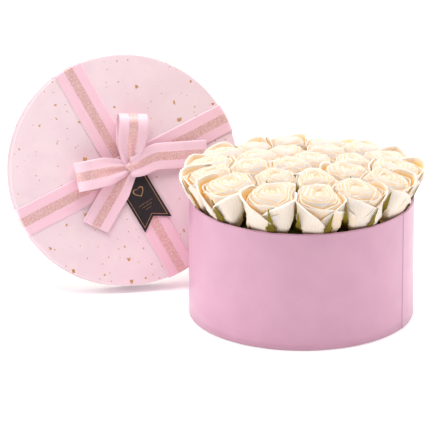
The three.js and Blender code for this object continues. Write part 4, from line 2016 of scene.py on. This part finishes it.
@dataclass
class Bow:
    """The bow tied on the lid's face: two loops, two tails and a knot, all of striped ribbon.

    Floor is the height of a strip's lowest part, and mouth how far over it the knot takes it in.
    Gather is its width there, and open_power the power by which it opens. Folds are the heights of
    the waves across it, gathered and open, and bulge that of its swell.
    """

    frame: LidFrame
    finishes: Finishes
    knot: Pair = (5.0, 3.0)
    knot_width: float = 11.0
    knot_height: float = 12.0
    knot_depth: float = 10.4
    knot_turn: float = 52.0
    knot_groove: float = 0.10
    knot_rows: int = 25
    knot_columns: int = 40
    mouth: float = 4.0
    floor: float = 3.2
    gather: float = 11.0
    open_power: float = 0.7
    folds: Pair = (1.5, 0.35)
    bulge: float = 0.8
    thickness: float = 0.5
    columns: int = 25
    loops: tuple[Loop, ...] = (
        Loop(Strip("bow_loop_up", 85), 62, 25),
        Loop(Strip("bow_loop_left", 187), 66, 24),
    )
    tails: tuple[Tail, ...] = (
        Tail(Strip("bow_tail_low", 236, 33.0, 0.45, slant=-1.5), 81, 1.6, 0),
        Tail(Strip("bow_tail_right", 0, 31.5, 0.28, bend=10.0), 93, 6, 3),
    )

    def build(self) -> list[Piece]:
        """Makes the loops, the tails and the knot."""
        return [*map(self.loop, self.loops), *map(self.tail, self.tails), self.roll()]

    def strip(self, strip: Strip, along: Array, height: Array, part: Array) -> Piece:
        """A strip of ribbon along a path that leaves the knot in its direction.

        Across the strip the cloth is folded in waves where it is gathered, and the waves fade as it
        opens to its full width.

        Args:
            strip: the strip's name, direction and width.
            along: distances from the knot, one for each row.
            height: heights over the face.
            part: how open the strip is, 0 at the knot.

        Returns:
            The piece.
        """
        length = lengths(along, height)
        slope = unit(np.stack([np.gradient(along), np.gradient(height)], -1))
        along, height, part = along[:, None], height[:, None], part[:, None]
        across = np.linspace(1, -1, self.columns)[None]
        opened = np.clip(part / strip.open_over, 0, 1) ** self.open_power
        half = blend(self.gather, strip.width, opened) / 2
        deep = self.folds[0] * (1 - opened) ** 0.8 + self.folds[1] * (1 - opened * 0.6)
        fold = deep * np.cos(across * 2.5 * math.pi + strip.turn)
        fold = fold + self.bulge * (1 - across**2) * np.sin(math.pi * np.minimum(1, part))
        reach = along - slope[:, 1:] * fold + strip.slant * across * part**8
        aside = across * half + strip.bend * eased(0.12, 0.45, part)
        stand = height + slope[:, :1] * fold
        middle = self.frame.place_along(self.knot, strip.turn, reach, aside, stand)[None]
        normals = grid_normals(middle) * self.thickness / 2
        uv = np.stack(np.broadcast_arrays(across / 2 + 0.5, length[:, None] / strip.width), -1)
        surface = Surface()
        surface.add_shells(middle + normals, middle - normals, uv)
        piece = surface.build(strip.name, [self.finishes.bow])
        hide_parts("bow")
        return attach(piece, "root")

    def loop(self, loop: Loop) -> Piece:
        """A loop: a teardrop path that leaves the knot low, turns and comes back high.

        The reach is a power of a sine, the height a sine of twice the angle, less at the knot.

        Args:
            loop: the loop's strip and sizes.

        Returns:
            The piece.
        """
        t = np.linspace(0.0, 1.0, 57)
        along = loop.length * np.sin(math.pi * t) ** 0.75
        part = along / loop.length
        wide = eased(0, 0.75, part)
        swing = 0.5 + 0.5 * np.sin(2 * math.pi * (t - 0.5))
        mouth = self.mouth + 2.4 * (t - 0.5)
        height = self.floor + wide * (loop.height * swing) + (1 - wide) * mouth
        return self.strip(loop.strip, along, height, part)

    def tail(self, tail: Tail) -> Piece:
        """A tail: from the knot out over the face, with a low swell and a clean cut end.

        Args:
            tail: the tail's strip and sizes.

        Returns:
            The piece.
        """
        part = np.linspace(0, 1, 41)
        swell = tail.lift * np.sin(math.pi * np.minimum(1, 0.3 + part))
        height = self.floor + swell + tail.rise * part
        height = height + (1 - eased(0, 0.25, part)) * (self.mouth - 1.5)
        return self.strip(tail.strip, tail.length * part, height, 0.12 + 0.88 * part)

    def roll(self) -> Piece:
        """The knot: a small soft roll, an ellipsoid with three grooves that run across it.

        Returns:
            The piece.
        """
        lift = np.linspace(0, math.pi, self.knot_rows + 2)[1:-1, None]
        around = np.linspace(0, FULL_TURN, self.knot_columns, endpoint=False)[None]
        groove = 1 - self.knot_groove * np.cos(3 * lift * 2) ** 2 * np.sin(lift)
        x = 0.5 * self.knot_width * np.sin(lift) * np.cos(around) * groove
        y = 0.5 * self.knot_height * np.cos(lift) + 0 * around
        z = 0.5 * self.knot_depth * np.sin(lift) * np.sin(around) * groove
        start, level = (self.knot, self.knot_turn), self.floor + self.knot_depth / 2
        ends = np.array([0.5, -0.5]) * self.knot_height
        surface = Surface()
        surface.add_poled(
            self.frame.place_along(*start, x, y, level + z),
            self.frame.place_along(*start, np.zeros(2), ends, np.full(2, level)),
            np.stack(np.broadcast_arrays(lift / math.pi, around), -1),
            np.array([[0, 0], [1, 0]]),
            flipped=True,
        )
        piece = surface.build("bow_knot", [self.finishes.bow])
        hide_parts("bow")
        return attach(piece, "root")


@dataclass
class Tag:
    """The black card tag with its swallow tail, a gold foil border and plain foil ornaments.

    Inset is how far inside the outline the border lies, and line its width. A rule is its distance
    along the tag and its half length, and the heart's sizes are the scales of its two outlines.
    """

    frame: LidFrame
    finishes: Finishes
    start: Pair = (2.4, -4.4)
    turn: float = -62.5
    floor: float = 2.1
    width: float = 37.0
    length: float = 70.0
    notch: float = 12.0
    chamfer: float = 9.0
    thickness: float = 0.8
    soft: float = 0.18
    inset: float = 2.6
    line: float = 0.55
    foil_height: float = 0.08
    rules: tuple[Pair, ...] = ((40.0, 9.0), (43.5, 6.5), (47.0, 3.5))
    rule_width: float = 0.45
    heart_at: float = 25.0
    heart_sizes: Pair = (0.42, 0.34)

    def outline(self, inset: float) -> Array:
        """The card's outline, or a line a little inside it.

        Each corner of the inner line stands where the two sides next to it, moved in, meet.

        Args:
            inset: how far inside.

        Returns:
            For each corner its distances along the tag and across it.
        """
        half, chamfer = self.width / 2, self.chamfer
        side = [[0, chamfer - half], [chamfer, -half], [self.length, -half]]
        other = [[along, -across] for along, across in side[::-1]]
        points = np.array([*side, [self.length - self.notch, 0], *other])
        before = unit(points - np.roll(points, 1, 0))
        after = unit(np.roll(points, -1, 0) - points)
        inwards = np.stack([-(before + after)[:, 1], (before + after)[:, 0]], -1)
        return points + inset * inwards / (1 + (before * after).sum(-1, keepdims=True))

    def rings(self, lines: list[tuple[Array, float]]) -> Array:
        """Loops of points on the tag.

        Args:
            lines: for each loop its points, along and across, and its height.

        Returns:
            The points in the drum's frame, one row for each loop.
        """
        along, across = np.moveaxis(np.stack([line for line, _ in lines]), -1, 0)
        level = self.floor + np.array([[height] for _, height in lines])
        return self.frame.place_along(self.start, self.turn, along, across, level)

    def build(self) -> list[Piece]:
        """Makes the card and its foil."""
        return [self.card(), self.foil()]

    def card(self) -> Piece:
        """The card: its outline carried up through its thickness, drawn in a little at both faces.

        Returns:
            The piece.
        """
        soft, top = self.soft, self.thickness
        levels = ((soft, 0.0), (0.0, soft), (0.0, top - soft), (soft, top))
        grid = self.rings([(self.outline(inset), height) for inset, height in levels])
        rows, columns = grid.shape[:2]
        cap = np.array([[0, 1, 3], [1, 2, 3], [3, 4, 5], [3, 5, 6], [0, 3, 6]])
        caps = np.concatenate([cap[:, ::-1], cap + (rows - 1) * columns])
        surface = Surface()
        surface.add(grid, round_faces(rows, columns, closed=False), caps)
        piece = surface.build("tag_card", [self.finishes.card], smooth=False)
        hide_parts("tag")
        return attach(piece, "root")

    def foil(self) -> Piece:
        """The foil: a border line inside the outline, three rules and a small heart.

        Returns:
            The piece.
        """
        surface = Surface()
        self.add_band(surface, self.outline(self.inset), self.outline(self.inset + self.line))
        for start, half in self.rules:
            end = start + self.rule_width
            bar = np.array([[start, -half], [end, -half], [end, half], [start, half]])
            self.add_band(surface, bar, bar.mean(0) + (bar - bar.mean(0)) * [0.3, 0.98])
        t = np.linspace(0, FULL_TURN, 48, endpoint=False)
        along = -(13 * np.cos(t) - 5 * np.cos(2 * t) - 2 * np.cos(3 * t))
        heart = np.stack([along, 16 * np.sin(t) ** 3], -1)
        self.add_band(surface, *([self.heart_at, 0] + heart * size for size in self.heart_sizes))
        piece = surface.build("tag_foil", [self.finishes.foil], smooth=False)
        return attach(piece, "root")

    def add_band(self, surface: Surface, outer: Array, inner: Array) -> None:
        """Adds a thin closed band between two loops of the same number of points.

        Args:
            surface: where the band goes.
            outer: the outer loop.
            inner: the inner loop.
        """
        base, top = self.thickness, self.thickness + self.foil_height
        grid = self.rings([(outer, base), (outer, top), (inner, top), (inner, base)])
        surface.add(grid, round_faces(*grid.shape[:2]))


@dataclass(frozen=True)
class Lamp:
    """One square soft light: its name, where it stands and its size in metres, and its watts."""

    name: str
    place: tuple[float, float, float]
    size: float
    power: float


@dataclass
class Studio:
    """The pale, faintly lit floor, the soft lights and the camera.

    Glow is how strongly the floor is lit, and near and far are the surroundings' colours on the
    camera's side and behind the object.
    """

    target: tuple[float, float, float] = (-99.7, 0.0, 116.4)
    distance: float = 5500.0
    elevation: float = 20.2
    lens: float = 399.5
    sensor: float = 36.0
    half_floor: float = 2.4
    glow: float = 0.2
    near: Color = (0.18, 0.18, 0.18, 1)
    far: Color = (1.0, 0.995, 0.99, 1)
    lamps: tuple[Lamp, ...] = (
        Lamp("left", (-2.4, -0.2, 1.1), 1.6, 20.5),
        Lamp("right", (2.4, 0.2, 1.0), 1.6, 13.5),
        Lamp("top", (-0.1, -0.2, 2.4), 2.0, 45.5),
    )

    def place_camera(self) -> None:
        """Sets the camera in front of the object, looking along +Y and down."""
        data = bpy.data.cameras.new("camera")
        data.lens, data.sensor_width, data.sensor_fit = self.lens, self.sensor, "HORIZONTAL"
        data.clip_end = 100.0
        camera = linked(bpy.data.objects.new("camera", data))
        bpy.context.scene.camera = camera
        angle = math.radians(self.elevation)
        away = np.array([0, -math.cos(angle), math.sin(angle)]) * self.distance
        camera.location = (np.array(self.target) + away) * MM
        camera.rotation_euler = (math.pi / 2 - angle, 0, 0)

    def add_lamp(self, lamp: Lamp) -> None:
        """Adds a light that faces the object.

        Args:
            lamp: the light.
        """
        data = bpy.data.lights.new(lamp.name, "AREA")
        data.shape, data.size, data.energy = "SQUARE", lamp.size, lamp.power
        made = linked(bpy.data.objects.new(lamp.name, data))
        made.location = lamp.place
        x, y, z = np.array(lamp.place) - np.array(self.target) * MM
        made.rotation_euler = (math.atan2(math.hypot(x, y), z), 0, math.atan2(x, -y))

    def surround(self) -> None:
        """Makes the surroundings: white behind the object and dimmer towards the camera."""
        world = bpy.data.worlds.new("studio")
        world.use_nodes = True
        world.node_tree.nodes.clear()
        bench = Bench(world.node_tree)
        depth = bench.split(bench.node("TexCoord").outputs["Generated"])[1]
        color = bench.mix(bench.step(depth, -0.9, 0.9), self.near, self.far)
        background = bench.node("Background", {"Color": color, "Strength": 1.0})
        bench.node("OutputWorld", {0: background.outputs[0]})
        bpy.context.scene.world = world

    def build(self) -> None:
        """Makes the floor, the lights and the pale surroundings."""
        half, down = self.half_floor, -MM / 2
        signs = ((-1, -1), (1, -1), (1, 1), (-1, 1))
        floor = bpy.data.meshes.new("floor")
        floor.from_pydata([(x * half, y * half, down) for x, y in signs], [], [(0, 1, 2, 3)])
        material, bench = new_bench("floor")
        cloud = bench.noise(bench.place(), 3.0)
        color = bench.mix(cloud, (0.97, 0.97, 0.97, 1), (0.98, 0.98, 0.98, 1))
        lit = {"Emission Color": color, "Emission Strength": self.glow}
        bench.surface({"Base Color": color, "Roughness": 0.9, **lit})
        floor.materials.append(material)
        linked(bpy.data.objects.new("floor", floor))
        self.surround()
        for lamp in self.lamps:
            self.add_lamp(lamp)
        bpy.context.scene.view_settings.view_transform = "Standard"
        LOG.info("studio: floor and %d soft lights", len(self.lamps))


def main() -> None:
    """Builds the camera, the drum, the roses, the lid and what it wears, and the studio."""
    logging.basicConfig(level=logging.INFO, format="%(name)s: %(message)s")
    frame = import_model()
    studio = Studio()
    studio.place_camera()
    finishes = Finishes.make()
    lid = LidFrame()
    parts = [Drum(finishes, frame["nodes"]), Roses(Bouquet(), lid, finishes)]
    parts += [kind(lid, finishes) for kind in (Lid, Ribbons, Bow, Tag)]
    for part in parts:
        for piece in part.build():
            LOG.info("%s: %s", type(part).__name__.lower(), piece.name)
    studio.build()


if __name__ == "__main__":
    main()
